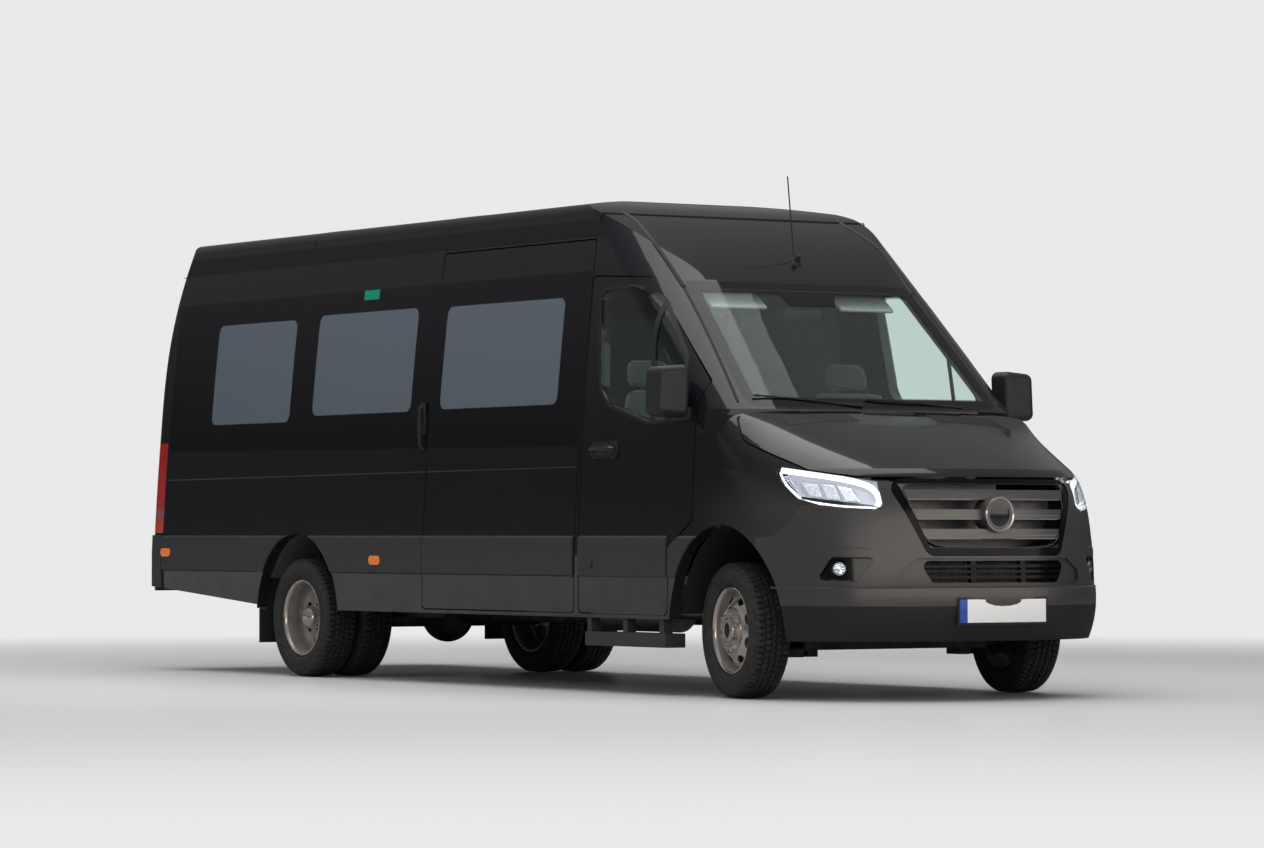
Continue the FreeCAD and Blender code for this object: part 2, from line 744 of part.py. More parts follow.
def grille():
    # Surround, three blades and the bare round badge boss.
    slot = prism_x(shifted(grille_points, -seat_clearance), ahead(500), front_limit, 60.0)
    rim = level_loft(face_levels, 4.0).common(slot)
    back = level_loft(face_levels, 34.0)
    front = level_loft(face_levels, 10.0)
    rim = rim.cut(back)
    hole = prism_x([(-503.0, 1052.0), (-388.0, 745.0), (388.0, 745.0), (503.0, 1052.0)],
                   ahead(500), front_limit, 40.0)
    pieces = [rim.cut(hole)]
    for z, half in ((1000.0, 480.0), (905.0, 445.0), (810.0, 410.0)):
        blade = front.common(box(ahead(500), front_limit, -half - 20, half + 20, z - 24, z + 24))
        pieces.append(blade.cut(back))
    boss = cylinder(Vector(ahead(880), 0, 905.0), Vector(ahead(975), 0, 905.0), 88.0)
    pieces.append(boss)
    return Part.makeCompound([fuse_all(pieces), lower_grille()])


# Wheels

def tyre(centre):
    half = tyre_width / 2
    bead = rim_radius - 12
    points = [(bead, -half + 41), (bead + 14, -half + 36), (bead + 18, -half + 16), (tyre_radius - 75, -half),
              (tyre_radius - 28, -half + 8),
              (tyre_radius - 3, -half + 26), (tyre_radius, -half + 60), (tyre_radius, half - 60),
              (tyre_radius - 3, half - 26), (tyre_radius - 28, half - 8), (tyre_radius - 75, half),
              (bead + 18, half - 16), (bead + 14, half - 36), (bead, half - 41)]
    points = [(r, centre.y + y) for r, y in points]
    return turned(points, centre)


def rim(centre, dish):
    # A pressed steel rim; dish is how far the disc stands out from the centre plane.
    bed = rim_inner_radius
    half = rim_width / 2 - 10
    seat = rim_radius - 12 - seat_clearance
    ring = [(bed, -half), (rim_radius, -half - 10), (rim_radius, -half + 2), (seat, -half + 6),
            (seat, half - 6), (rim_radius, half - 2), (rim_radius, half + 10), (bed, half), (bed - 14, half - 20),
            (bed - 14, -half + 20)]
    ring = [(r, centre.y + y) for r, y in ring]
    disc = [(bed - 8, 0.0), (bed - 60, dish * 0.55), (110.0, dish), (hub_radius + 1, dish),
            (hub_radius + 1, dish - 12), (112.0, dish - 12), (bed - 64, dish * 0.55 - 12), (bed - 8, -14.0)]
    disc = [(r, centre.y + y) for r, y in disc]
    return fuse_all([turned(ring, centre), turned(disc, centre)])


def wheel_centre(x, y):
    return Vector(x, y, tyre_radius)


def front_wheel(side):
    centre = wheel_centre(front_axle, side * front_wheel_y)
    disc = rim(centre, side * 62.0)
    for i in range(8):
        angle = math.radians(45.0 * i + 22.5)
        spot = Vector(centre.x + 150 * math.cos(angle), centre.y, centre.z + 150 * math.sin(angle))
        disc = disc.cut(cylinder(Vector(spot.x, spot.y - 100, spot.z), Vector(spot.x, spot.y + 100, spot.z), 17.0))
    hub = cylinder(Vector(centre.x, centre.y - side * 12, centre.z),
                   Vector(centre.x, centre.y + side * 95, centre.z), hub_radius + 1)
    return fuse_all([disc, hub]), tyre(centre)


def rear_wheel(side):
    outer_centre = wheel_centre(rear_axle, side * rear_outer_y)
    inner_centre = wheel_centre(rear_axle, side * (rear_outer_y - twin_spacing))
    outer_disc = rim(outer_centre, -side * 62.0)
    inner_disc = rim(inner_centre, side * 62.0)
    hub = cylinder(Vector(rear_axle, inner_centre.y - side * 40, tyre_radius),
                   Vector(rear_axle, outer_centre.y + side * 40, tyre_radius), hub_radius + 1)
    spacer = cylinder(Vector(rear_axle, inner_centre.y + side * 50, tyre_radius),
                      Vector(rear_axle, outer_centre.y - side * 62, tyre_radius), 112.0)
    tyres = Part.makeCompound([tyre(outer_centre), tyre(inner_centre)])
    return fuse_all([outer_disc, inner_disc, hub, spacer]), tyres


def steered(shape, side):
    turned_shape = shape.copy()
    turned_shape.rotate(Vector(front_axle, side * kingpin_y, 0), Vector(0, 0, 1), steer_rest_deg)
    return turned_shape


def knuckle(side):
    # Upright with its kingpin, stub axle and brake disc.
    y_pin = side * kingpin_y
    pin = cylinder(Vector(front_axle, y_pin, tyre_radius - 110),
                   Vector(front_axle, y_pin, tyre_radius + 150), pin_radius)
    body = box(front_axle - 45, front_axle + 45, min(y_pin - 30, y_pin + 30), max(y_pin - 30, y_pin + 30),
               tyre_radius - 80, tyre_radius + 90)
    end_y = side * (front_wheel_y - 12 - seat_clearance)
    stub = cylinder(Vector(front_axle, y_pin, tyre_radius), Vector(front_axle, end_y, tyre_radius), 40.0)
    disc_y = side * (front_wheel_y - 38)
    disc = cylinder(Vector(front_axle, disc_y, tyre_radius),
                    Vector(front_axle, disc_y + side * 24, tyre_radius), 150.0)
    return fuse_all([pin, body, stub, disc])


# Running gear and chassis

def chassis_frame():
    rails = []
    for side in (-1, 1):
        y0 = side * rail_y - rail_width / 2
        rails.append(box(tail_face + 120, behind(350), y0, y0 + rail_width, rail_bottom, rail_top))
        rails.append(box(behind(360), ahead(820), y0, y0 + rail_width, rail_bottom + 20, rail_top))
    crosses = []
    for x in (behind(1100), behind(2300), behind(3400), rear_axle - 700, tail_face + 160, ahead(720)):
        crosses.append(box(x - 40, x + 40, -rail_y, rail_y, rail_bottom + 30, rail_top - 10))
    return fuse_all(rails + crosses)


def floor():
    # the rear edge stays clear of the corners of the rear doors as they swing
    region = box(tail_face + wall + floor_setback, ahead(0), -wide, wide, floor_bottom, floor_top)
    slab = inner.common(region)
    slab = slab.cut(front_arches).cut(rear_arches)
    houses = []
    for side in (-1, 1):
        far = side * (side_at(rear_arch_top + 40) - wall - 1)
        near = side * (rear_well_inner - 20)
        y0, y1 = min(far, near), max(far, near)
        cover = arch(rear_arch_x, rear_arch_half_length, rear_arch_top, y0, y1, 20.0)
        inside_y = (near + side * 20, far + side * 50)
        hollow = arch(rear_arch_x, rear_arch_half_length, rear_arch_top, min(inside_y), max(inside_y), 2.0)
        cover = cover.cut(hollow).common(box(tail_face, ahead(0), -wide, wide, floor_bottom, tall))
        houses.append(cover)
    return fuse_all([slab] + houses)


def rear_axle_piece():
    end = rear_outer_y - twin_spacing - 40 - seat_clearance
    beam = cylinder(Vector(rear_axle, -end, tyre_radius), Vector(rear_axle, end, tyre_radius), 60.0)
    bulge = Part.makeSphere(150.0, Vector(rear_axle, 0, tyre_radius))
    pieces = [beam, bulge]
    for side in (-1, 1):
        y0 = side * rail_y - 35
        leaf = box(rear_axle - 720, rear_axle + 720, y0, y0 + 70, tyre_radius + 2, tyre_radius + 40)
        pieces.append(leaf)
        for x in (rear_axle - 700, rear_axle + 700):
            pieces.append(box(x - 20, x + 20, y0, y0 + 70, tyre_radius + 20, rail_bottom - seat_clearance))
    return fuse_all(pieces)


def front_suspension():
    # Crossmember, lower arms with their ball sockets, and the struts above the kingpins.
    pieces = [box(front_axle - 120, front_axle + 120, -560, 560, 235, 330)]
    for side in (-1, 1):
        y0 = side * 560
        y1 = side * kingpin_y
        pieces.append(prism_z([(front_axle - 150, y0), (front_axle + 110, y0), (front_axle + 28, y1),
                               (front_axle - 28, y1)], arm_bottom, arm_top))
        pieces.append(cylinder(Vector(front_axle, y1, arm_bottom), Vector(front_axle, y1, arm_top), 31))
        pieces.append(box(front_axle - 60, front_axle + 60, min(side * 440, side * 500),
                          max(side * 440, side * 500), arm_bottom, rail_top - 20))
    whole = fuse_all(pieces)
    for side in (-1, 1):
        y_pin = side * kingpin_y
        whole = whole.cut(cylinder(Vector(front_axle, y_pin, arm_bottom - 10),
                                   Vector(front_axle, y_pin, arm_top + 10), pin_radius + pin_fit))
    return fuse_all([whole, both_sides(spring_leg())])


def spring_leg():
    # A spring and damper from the lower arm up to the crown of the arch, inboard of the tyre.
    y_leg = -spring_y
    profile = [(0, arm_top - 10), (26, arm_top - 10), (26, arm_top + 90), (50, arm_top + 96), (50, arm_top + 108)]
    for i in range(6):
        z = arm_top + 120 + 50 * i
        profile += [(49, z), (49, z + 16), (38, z + 26), (38, z + 38)]
    profile += [(50, arm_top + 430), (50, arch_top), (0, arch_top)]
    wire = outline([Vector(front_axle + r, y_leg, z) for r, z in profile], 0.0)
    column = Part.Face(wire).revolve(Vector(front_axle, y_leg, 0), Vector(0, 0, 1), 360)
    return column.common(liner_space(liner_thickness + 2 * seat_clearance))


def liner_space(inset):
    # The inside of the right front wheel arch, inset a little from the cut panels.
    return arch(front_arch_x, arch_half_length, arch_top, -925.0, -front_well_inner - inset, -inset)


def wheel_liners():
    # Front arch linings and the flaps behind the rear wheels.
    lining = liner_space(seat_clearance).cut(
        arch(front_arch_x, arch_half_length, arch_top, -wide, -front_well_inner - liner_thickness, -liner_thickness))
    lining = lining.common(box(behind(600), ahead(600), -wide, 0, 410.0, tall))
    flap_x = rear_arch_x - rear_arch_half_length + seat_clearance
    upper = box(flap_x, flap_x + 6, 1 - side_well, -rear_outer_y + 1.5 * twin_spacing, flap_bottom,
                floor_bottom - seat_clearance)
    outer_edge = box(flap_x, flap_x + 6, 15 - half_width_body, 2 - side_well, flap_bottom,
                     sill_height - seat_clearance)
    return both_sides(Part.makeCompound([lining, fuse_all([upper, outer_edge])]))


def engine():
    return box(ahead(55 + seat_clearance), ahead(560), -290, 290, 480, 1060)


def driveline():
    gearbox = box(behind(620), behind(130), -170, 170, 300, floor_bottom - seat_clearance)
    bell = box(behind(130), ahead(55), -210, 210, 330 + seat_clearance, floor_bottom - 6)
    shaft = cylinder(Vector(behind(620), 0, 370), Vector(rear_axle + 152, 0, 350), 40)
    return fuse_all([gearbox, bell, shaft])


def fuel_tank():
    return box(behind(2150), behind(1250), 470, 850, 320, floor_bottom - seat_clearance)


def exhaust():
    z = rail_bottom + 30 - 35 - seat_clearance
    pipe = cylinder(Vector(behind(700), -235, z), Vector(behind(3000), -235, z), 35)
    can = cylinder(Vector(behind(1500), -235, z), Vector(behind(2200), -235, z), 105)
    return fuse_all([pipe, can])


# Seats and cab fittings

def seat(x, y, width, base):
    # One seat in side view, its back reclined, drawn across its width.
    profile = [(x + 30, base), (x + 330, base), (x + 350, base + 300), (x + 480, base + 330), (x + 470, base + 440),
               (x + 90, base + 420), (x - 60, base + 1120), (x - 150, base + 1100), (x - 30, base + 330)]
    return prism_y(profile, y - width / 2, y + width / 2)


def passenger_seats():
    seats = []
    for row in range(5):
        x = behind(2250 + 780 * row)
        for y in (600.0, 150.0, -600.0):
            seats.append(seat(x, y, 430.0, floor_top + seat_clearance))
    houses = both_sides(arch(rear_arch_x, rear_arch_half_length, rear_arch_top, -wide, -rear_well_inner + 21, 21.0))
    return Part.makeCompound([s.cut(houses) for s in seats])


def cab_seats():
    seats = [seat(behind(1010), 560.0, 500.0, floor_top + seat_clearance)]
    seats.append(seat(behind(1010), -480.0, 800.0, floor_top + seat_clearance))
    return Part.makeCompound(seats)


def dashboard():
    front = behind(wall - windscreen_foot + seat_clearance)
    profile = [(front, 980.0), (front, 1330.0), (behind(180), 1385.0), (behind(330), 1370.0),
               (behind(470), 1230.0), (behind(400), 980.0)]
    return prism_y(profile, -740.0, 740.0).common(cabin_outer(wall + seat_clearance))


def steering_wheel():
    # The wheel on its column, square to it and sunk into the face of the dashboard.
    lean = Vector(-math.cos(column_lean), 0, math.sin(column_lean))
    centre = Vector(behind(640), driver_y, 1236)
    column = cylinder(centre.sub(Vector(lean).multiply(230)), centre, 30).cut(dashboard())
    wheel = Part.makeTorus(wheel_ring, 16, centre, lean)
    pad = cylinder(centre.sub(Vector(lean).multiply(12)), centre.add(Vector(lean).multiply(16)), 78)
    bar = Part.makeBox(2 * wheel_ring, 34, 16, Vector(-wheel_ring, -17, -8))
    bar.rotate(Vector(0, 0, 0), Vector(0, 0, 1), 90)
    bar.rotate(Vector(0, 0, 0), Vector(0, 1, 0), math.degrees(column_lean) - 90)
    bar.translate(centre)
    return fuse_all([column, wheel, pad, bar])


# Small outer pieces

def rear_bumper():
    # The step bar with the two corner mouldings that reach up to the rear lamps.
    corner_box = box(tail_face - 60, tail_face + lamp_length, -wide, -lamp_inner_y, sill_height, lamp_bottom - 14)
    corner = trim_out.common(corner_box).cut(trim_in).cut(rear_sweep())
    rear, top = tail_face - rear_step_depth, rear_door_bottom - 12
    step = prism_z([(rear + 45, -950), (rear, -820), (rear, 820), (rear + 45, 950), (tail_face - seat_clearance, 950),
                    (tail_face - seat_clearance, -950)], top - rear_step_height, top)
    stay = box(tail_face - seat_clearance - 10, tail_face + 119, -690, 690, top - rear_step_height, rail_top - 10)
    return fuse_all([step, stay, both_sides(corner)])


def side_trim():
    # Cladding along the body behind the cab doors, and the step under each cab door.
    front = behind(slide_front)
    back = tail_face + lamp_length + 2
    cuts = [rear_arches, box(behind(slide_rear + panel_gap), behind(slide_rear), -wide, wide, 0, tall)]
    band = cladding_band(back, front)
    for cut in cuts:
        band = band.cut(cut)
    toe = cladding_band(behind(445), behind(190)).cut(front_arches).cut(door_slot_wide)
    toe = toe.cut(level_loft(face_levels, -seat_clearance))
    tread_y = -half_width_body + 8
    step = [box(behind(1236), behind(480), tread_y, tread_y + 120, 240, 311)]
    for x in (1200, 860, 520):
        step.append(box(behind(x + 20), behind(x - 20), tread_y + 4, 5 - side_well, 300, sill_height - seat_clearance))
    step = fuse_all(step)
    return both_sides(Part.makeCompound([band, toe, step]))


def side_markers():
    return both_sides(Part.makeCompound([side_marker(5930.0, 700.0), side_marker(3400.0, 665.0)]))


def radiator():
    return box(ahead(690), ahead(750), -470, 470, rail_top + seat_clearance, 1000)


def antenna():
    # A whip on a small foot over the cab.
    foot_x = behind(antenna_back)
    back = math.asin((crest_back - antenna_back) / cap_radius)
    top = roof_height - 5 - cap_radius * (1 - math.cos(back))
    foot_at = Vector(foot_x + 6, antenna_y, top - 34)
    foot = Part.makeCone(26, 11, 70, foot_at, Vector(math.sin(back), 0, math.cos(back)))
    start = Vector(foot_x, antenna_y, top + 20)
    tip = Vector(foot_x - antenna_lean, antenna_y, top + antenna_length)
    return fuse_all([foot.cut(trim_in), cylinder(start, tip, 3.5)])


def write(name, shape):
    shape.exportStep("parts/" + name + ".step")


def main():
    os.makedirs("parts", exist_ok=True)
    right_door = front_door()
    right_glass = front_door_glass()
    right_trim = mirror_and_trim()
    flank = wing()
    pieces = {
        "chassis_frame": chassis_frame(), "floor": floor(), "roof": roof(), "roof_cap": roof_cap(),
        "cab_frame": cab_frame(), "side_left": side_left(), "side_right": side_right(),
        "sliding_door": sliding_door(), "wings": both_sides(flank), "bonnet": bonnet(),
        "front_bumper": front_bumper(), "grille": grille(), "headlamps": headlamps(),
        "windscreen": windscreen(), "door_right": right_door, "door_right_glass": right_glass,
        "door_right_trim": right_trim, "door_left": mirrored(right_door),
        "door_left_glass": mirrored(right_glass), "door_left_trim": mirrored(right_trim),
        "rear_door_right": rear_door(-1), "rear_door_left": rear_door(1),
        "rear_door_right_glass": rear_door_glass(-1), "rear_door_left_glass": rear_door_glass(1),
        "rear_axle": rear_axle_piece(), "front_suspension": front_suspension(), "engine": engine(),
        "driveline": driveline(), "fuel_tank": fuel_tank(), "exhaust": exhaust(),
        "passenger_seats": passenger_seats(), "cab_seats": cab_seats(), "dashboard": dashboard(),
        "rear_bumper": rear_bumper(), "side_trim": side_trim(), "side_markers": side_markers(),
        "rear_lamps": rear_lamps(), "radiator": radiator(), "antenna": antenna(),
        "steering_wheel": steering_wheel(), "wheel_liners": wheel_liners(),
    }
    panes = [pane(middle_pane, 20.0), pane(rear_pane, 20.0)]
    right_panes = panes + [pane(slide_pane, 20.0)]
    pieces["side_glass"] = Part.makeCompound(right_panes + [mirrored(p) for p in right_panes])
    for side, name in ((-1, "right"), (1, "left")):
        rim_piece, tyre_piece = front_wheel(side)
        pieces["front_rim_" + name] = steered(rim_piece, side)
        pieces["front_tyre_" + name] = steered(tyre_piece, side)
        pieces["knuckle_" + name] = steered(knuckle(side), side)
        rim_piece, tyre_piece = rear_wheel(side)
        pieces["rear_rim_" + name] = rim_piece
        pieces["rear_tyre_" + name] = tyre_piece
    for name, shape in pieces.items():
        write(name, shape)
        box_of = shape.BoundBox
        print(name, len(shape.Solids), shape.isValid(), round(box_of.XMin), round(box_of.XMax),
              round(box_of.YMin), round(box_of.YMax), round(box_of.ZMin), round(box_of.ZMax))


main()
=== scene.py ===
import json
import math
import bmesh
import bpy
from mathutils import Matrix, Vector


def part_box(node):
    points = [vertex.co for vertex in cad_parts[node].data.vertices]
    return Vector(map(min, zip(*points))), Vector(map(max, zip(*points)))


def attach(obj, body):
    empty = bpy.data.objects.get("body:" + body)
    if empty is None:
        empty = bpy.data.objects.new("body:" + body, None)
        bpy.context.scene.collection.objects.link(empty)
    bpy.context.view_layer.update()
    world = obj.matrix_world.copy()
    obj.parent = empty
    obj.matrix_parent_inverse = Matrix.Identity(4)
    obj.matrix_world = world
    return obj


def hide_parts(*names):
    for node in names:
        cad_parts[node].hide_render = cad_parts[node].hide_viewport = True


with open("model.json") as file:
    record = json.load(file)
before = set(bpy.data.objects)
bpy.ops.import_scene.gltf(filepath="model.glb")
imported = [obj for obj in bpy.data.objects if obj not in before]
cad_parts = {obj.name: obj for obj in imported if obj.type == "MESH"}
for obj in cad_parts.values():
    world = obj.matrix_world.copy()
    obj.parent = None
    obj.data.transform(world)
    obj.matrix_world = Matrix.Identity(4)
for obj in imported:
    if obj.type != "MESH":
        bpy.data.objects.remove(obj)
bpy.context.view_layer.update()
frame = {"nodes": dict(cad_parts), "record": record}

print("frame loaded")

# places on the vehicle, in metres
frontAxle = 2.615
rearAxle = -1.710
tailFace = -3.540


def sideAt(z):  # half width of the body: upright to the crease, then leaning in
    rise = max(0.0, z - 0.7)
    return 1.0 - 0.045 * rise - 0.027 * rise * rise


def behind(distance):  # x of a place, from its distance behind the front axle
    return frontAxle - distance


# camera

view = dict(place=(22.031, -13.9048, 0.8196), yaw=147.417, pitch=1.306, roll=-0.03, lens=135.0)


def makeCamera():
    data = bpy.data.cameras.new("viewCamera")
    data.lens = view["lens"]
    data.sensor_width = 36.0
    data.clip_end = 200.0
    cam = bpy.data.objects.new("viewCamera", data)
    bpy.context.scene.collection.objects.link(cam)
    turn = Matrix.Rotation(math.radians(view["yaw"] - 90), 4, "Z")
    tilt = Matrix.Rotation(math.radians(90 + view["pitch"]), 4, "X")
    roll = Matrix.Rotation(math.radians(view["roll"]), 4, "Z")
    cam.matrix_world = Matrix.Translation(view["place"]) @ turn @ tilt @ roll
    bpy.context.scene.camera = cam


# shader sums

class Value:  # one socket of a material, so that masks can be written as sums
    def __init__(self, surface, socket):
        self.surface = surface
        self.socket = socket

    def pair(self, operation, other, flip=False):
        first, second = (other, self) if flip else (self, other)
        return self.surface.node("Math", {"operation": operation}, {0: first, 1: second})

    def __add__(self, other): return self.pair("ADD", other)
    def __radd__(self, other): return self.pair("ADD", other, True)
    def __sub__(self, other): return self.pair("SUBTRACT", other)
    def __rsub__(self, other): return self.pair("SUBTRACT", other, True)
    def __mul__(self, other): return self.pair("MULTIPLY", other)
    def __rmul__(self, other): return self.pair("MULTIPLY", other, True)
    def __truediv__(self, other): return self.pair("DIVIDE", other)
    def most(self, other): return self.pair("MAXIMUM", other)
    def power(self, other): return self.pair("POWER", other)
    def size(self): return self.pair("ABSOLUTE", 0.0)
    def wave(self): return self.pair("SINE", 0.0)


class Surface:  # one material with its main shader
    def __init__(self, name, **fixed):
        self.material = bpy.data.materials.new(name)
        self.material.use_nodes = True
        self.tree = self.material.node_tree
        self.tree.nodes.clear()
        self.out = self.tree.nodes.new("ShaderNodeOutputMaterial")
        self.shader = self.tree.nodes.new("ShaderNodeBsdfPrincipled")
        self.tree.links.new(self.shader.outputs[0], self.out.inputs[0])
        for socket, value in fixed.items():
            self.fix(socket, value)

    def fix(self, socket, value):
        names = {"colour": "Base Color", "rough": "Roughness", "metal": "Metallic", "coat": "Coat Weight",
                 "coatRough": "Coat Roughness", "through": "Transmission Weight", "ior": "IOR",
                 "sheen": "Sheen Weight", "glow": "Emission Strength", "glowColour": "Emission Color",
                 "spec": "Specular IOR Level"}
        if socket in ("colour", "glowColour"):
            value = (value[0], value[1], value[2], 1.0)
        self.shader.inputs[names[socket]].default_value = value

    def node(self, kind, settings, sockets, out=0):
        made = self.tree.nodes.new("ShaderNode" + kind)
        for key, value in settings.items():
            if key == "stops":
                ramp = made.color_ramp
                while len(ramp.elements) < len(value):
                    ramp.elements.new(0.5)
                for element, (place, colour) in zip(ramp.elements, value):
                    element.position = place
                    element.color = (colour[0], colour[1], colour[2], 1.0)
            else:
                setattr(made, key, value)
        for key, value in sockets.items():
            if isinstance(value, Value):
                self.tree.links.new(value.socket, made.inputs[key])
            elif isinstance(value, tuple) and len(value) == 3 and made.inputs[key].type == "RGBA":
                made.inputs[key].default_value = (*value, 1.0)
            else:
                made.inputs[key].default_value = value
        return Value(self, made.outputs[out])

    def feed(self, socket, value):
        self.tree.links.new(value.socket, self.shader.inputs[socket])

    def place(self):
        return self.node("TexCoord", {}, {}, "Object")

    def axes(self):
        split = self.tree.nodes.new("ShaderNodeSeparateXYZ")
        self.tree.links.new(self.place().socket, split.inputs[0])
        return [Value(self, split.outputs[i]) for i in range(3)]

    def noise(self, scale, detail=3.0, rough=0.5):
        return self.node("TexNoise", {}, {"Vector": self.place(), "Scale": scale, "Detail": detail,
                                          "Roughness": rough})

    def cells(self, scale):
        return self.node("TexVoronoi", {}, {"Vector": self.place(), "Scale": scale})

    def step(self, value, low, high):  # 0 below low, 1 above high, smooth between
        return self.node("MapRange", {"interpolation_type": "SMOOTHSTEP"},
                         {"Value": value, "From Min": low, "From Max": high})

    def mix(self, share, first, second):
        made = self.tree.nodes.new("ShaderNodeMix")
        made.data_type = "RGBA"
        for key, value in ((0, share), (6, first), (7, second)):
            if isinstance(value, Value):
                self.tree.links.new(value.socket, made.inputs[key])
            elif key == 0:
                made.inputs[key].default_value = value
            else:
                made.inputs[key].default_value = (*value, 1.0)
        return Value(self, made.outputs[2])

    def bump(self, height, strength, distance=0.001):
        made = self.node("Bump", {}, {"Height": height, "Strength": strength, "Distance": distance})
        self.feed("Normal", made)

    def roundBox(self, a, b, box, radius):  # 1 inside a rounded rectangle in the two given directions
        a0, a1, b0, b1 = box
        da = ((a - (a0 + a1) / 2).size() - ((a1 - a0) / 2 - radius)).most(0.0)
        db = ((b - (b0 + b1) / 2).size() - ((b1 - b0) / 2 - radius)).most(0.0)
        reach = (da * da + db * db).power(0.5)
        return 1 - self.step(reach, radius - 0.002, radius + 0.002)


# finishes

bumperLip = 0.462  # height under which the bumper is bare plastic

def paintFinish():
    s = Surface("glossBlackPaint", colour=(0.006, 0.006, 0.007), rough=0.25, coat=1.0, coatRough=0.035,
                spec=0.1)
    x, y, z = s.axes()
    dust = (1 - s.step(z, 0.35, 1.1)) * s.noise(6.0, 5.0, 0.65)
    # painted reflection: round the lower nose the base colour turns a brownish grey, the front light's sheen
    # painted in
    front = s.step(x, frontAxle - 0.35, frontAxle + 0.55) * (1 - s.step(z, 0.9, 1.15))
    paintWithPaintedSheen = s.mix(front, (0.006, 0.006, 0.008), (0.030, 0.028, 0.027))
    s.feed("Base Color", s.mix(dust * 0.14, paintWithPaintedSheen, (0.085, 0.08, 0.072)))
    s.feed("Roughness", s.noise(2.2, 4.0) * 0.1 + dust * 0.35 + 0.16)
    s.feed("Coat Weight", 1 - dust * 0.7)
    s.bump(s.noise(140.0, 2.0), 0.012, 0.002)
    return s


def bumperFinish():
    # the same paint with a brownish painted sheen in its base colour, down to the lower lip, which is bare
    # black plastic
    s = Surface("bumperPaint", colour=(0.006, 0.006, 0.007), rough=0.25, coat=1.0, coatRough=0.26)
    x, y, z = s.axes()
    bare = 1 - s.step(z, bumperLip - 0.003, bumperLip + 0.003)
    dust = (1 - s.step(z, 0.45, 1.1)) * s.noise(6.0, 5.0, 0.65)
    # painted reflection: the brownish grey base colour is the front light's sheen painted onto the whole
    # bumper
    paintWithPaintedSheen = s.mix(dust * 0.35, (0.030, 0.028, 0.027), (0.085, 0.078, 0.070))
    s.feed("Base Color", s.mix(bare, paintWithPaintedSheen, (0.012, 0.012, 0.012)))
    s.feed("Roughness", bare * 0.25 + s.noise(2.2, 4.0) * 0.08 + 0.30)
    s.feed("Coat Weight", (1 - bare) * (1 - dust * 0.6))
    s.bump(s.noise(900.0, 2.0) * bare, 0.2, 0.0005)
    return s


def greyPlasticFinish():
    # grey on the side mouldings, nearly black on the mirrors and handles
    s = Surface("satinGreyPlastic", colour=(0.03, 0.03, 0.033), rough=0.5)
    x, y, z = s.axes()
    dust = (1 - s.step(z, 0.3, 0.9)) * s.noise(9.0, 5.0, 0.7)
    plain = s.mix(s.step(z, 0.85, 0.95), (0.026, 0.026, 0.029), (0.016, 0.016, 0.017))
    s.feed("Base Color", s.mix(dust * 0.35, plain, (0.075, 0.072, 0.066)))
    s.feed("Roughness", s.noise(14.0, 4.0) * 0.12 + dust * 0.2 + 0.36)
    s.bump(s.cells(1500.0) + s.noise(2600.0, 2.0), 0.05, 0.0004)
    return s


def blackPlasticFinish():
    s = Surface("grainedBlackPlastic", colour=(0.014, 0.014, 0.015), rough=0.6)
    s.feed("Roughness", s.noise(20.0, 4.0) * 0.2 + 0.48)
    s.bump(s.cells(1200.0), 0.04, 0.0004)
    return s


def glossPlasticFinish():
    s = Surface("glossBlackPlastic", colour=(0.006, 0.006, 0.006), rough=0.15, coat=0.6, coatRough=0.04)
    s.feed("Roughness", s.noise(30.0, 3.0) * 0.1 + 0.1)
    return s


def grilleFinish():
    # gloss black surround round satin blades
    s = Surface("grillePlastic", colour=(0.004, 0.004, 0.004), rough=0.2, ior=1.28)
    x, y, z = s.axes()
    half = (z - 0.745) * 0.375 + 0.384
    inside = s.step(half - y.size(), -0.003, 0.003) * s.step(z, 0.742, 0.748) * (1 - s.step(z, 1.049, 1.055))
    s.feed("Base Color", s.mix(inside, (0.003, 0.003, 0.003), (0.17, 0.16, 0.15)))
    s.feed("Metallic", inside * 0.75)
    s.feed("Roughness", inside * 0.22 + s.noise(30.0, 3.0) * 0.08 + 0.10)
    return s


def chassisFinish():
    s = Surface("chassisBlack", colour=(0.02, 0.02, 0.02), rough=0.7)
    road = s.noise(8.0, 6.0, 0.7)
    s.feed("Base Color", s.mix(s.step(road, 0.35, 0.75) * 0.7, (0.014, 0.014, 0.015), (0.085, 0.075, 0.062)))
    s.feed("Roughness", road * 0.3 + 0.5)
    s.bump(s.noise(90.0, 5.0, 0.7), 0.3, 0.001)
    return s


def metalFinish(name, colour, rough, metal=1.0, stain=(0.12, 0.09, 0.06)):
    s = Surface(name, colour=colour, rough=rough, metal=metal)
    wear = s.noise(28.0, 6.0, 0.7)
    s.feed("Base Color", s.mix(s.step(wear, 0.45, 0.8) * 0.5, colour, stain))
    s.feed("Roughness", wear * 0.3 + (rough - 0.1))
    s.bump(s.noise(400.0, 4.0, 0.6), 0.02, 0.0004)
    return s


def wheelFinish():
    # polished steel with painted shade in the hollows
    s = Surface("wheelSteel", colour=(0.72, 0.66, 0.60), rough=0.2, metal=1.0)
    wear = s.noise(9.0, 5.0, 0.6)
    soot = s.node("Attribute", {"attribute_name": "soot"}, {}, "Fac")
    clean = s.mix(s.step(wear, 0.5, 0.8) * 0.35, (0.88, 0.81, 0.74), (0.52, 0.42, 0.33))
    # painted shade: the base colour turns dark brown in the hollows where the attribute is high
    s.feed("Base Color", s.mix(soot * (wear * 0.4 + 0.55), clean, (0.075, 0.058, 0.046)))
    s.feed("Roughness", soot * 0.3 + wear * 0.12 + 0.12)
    s.feed("Metallic", 0.94 - soot * 0.35)
    return s


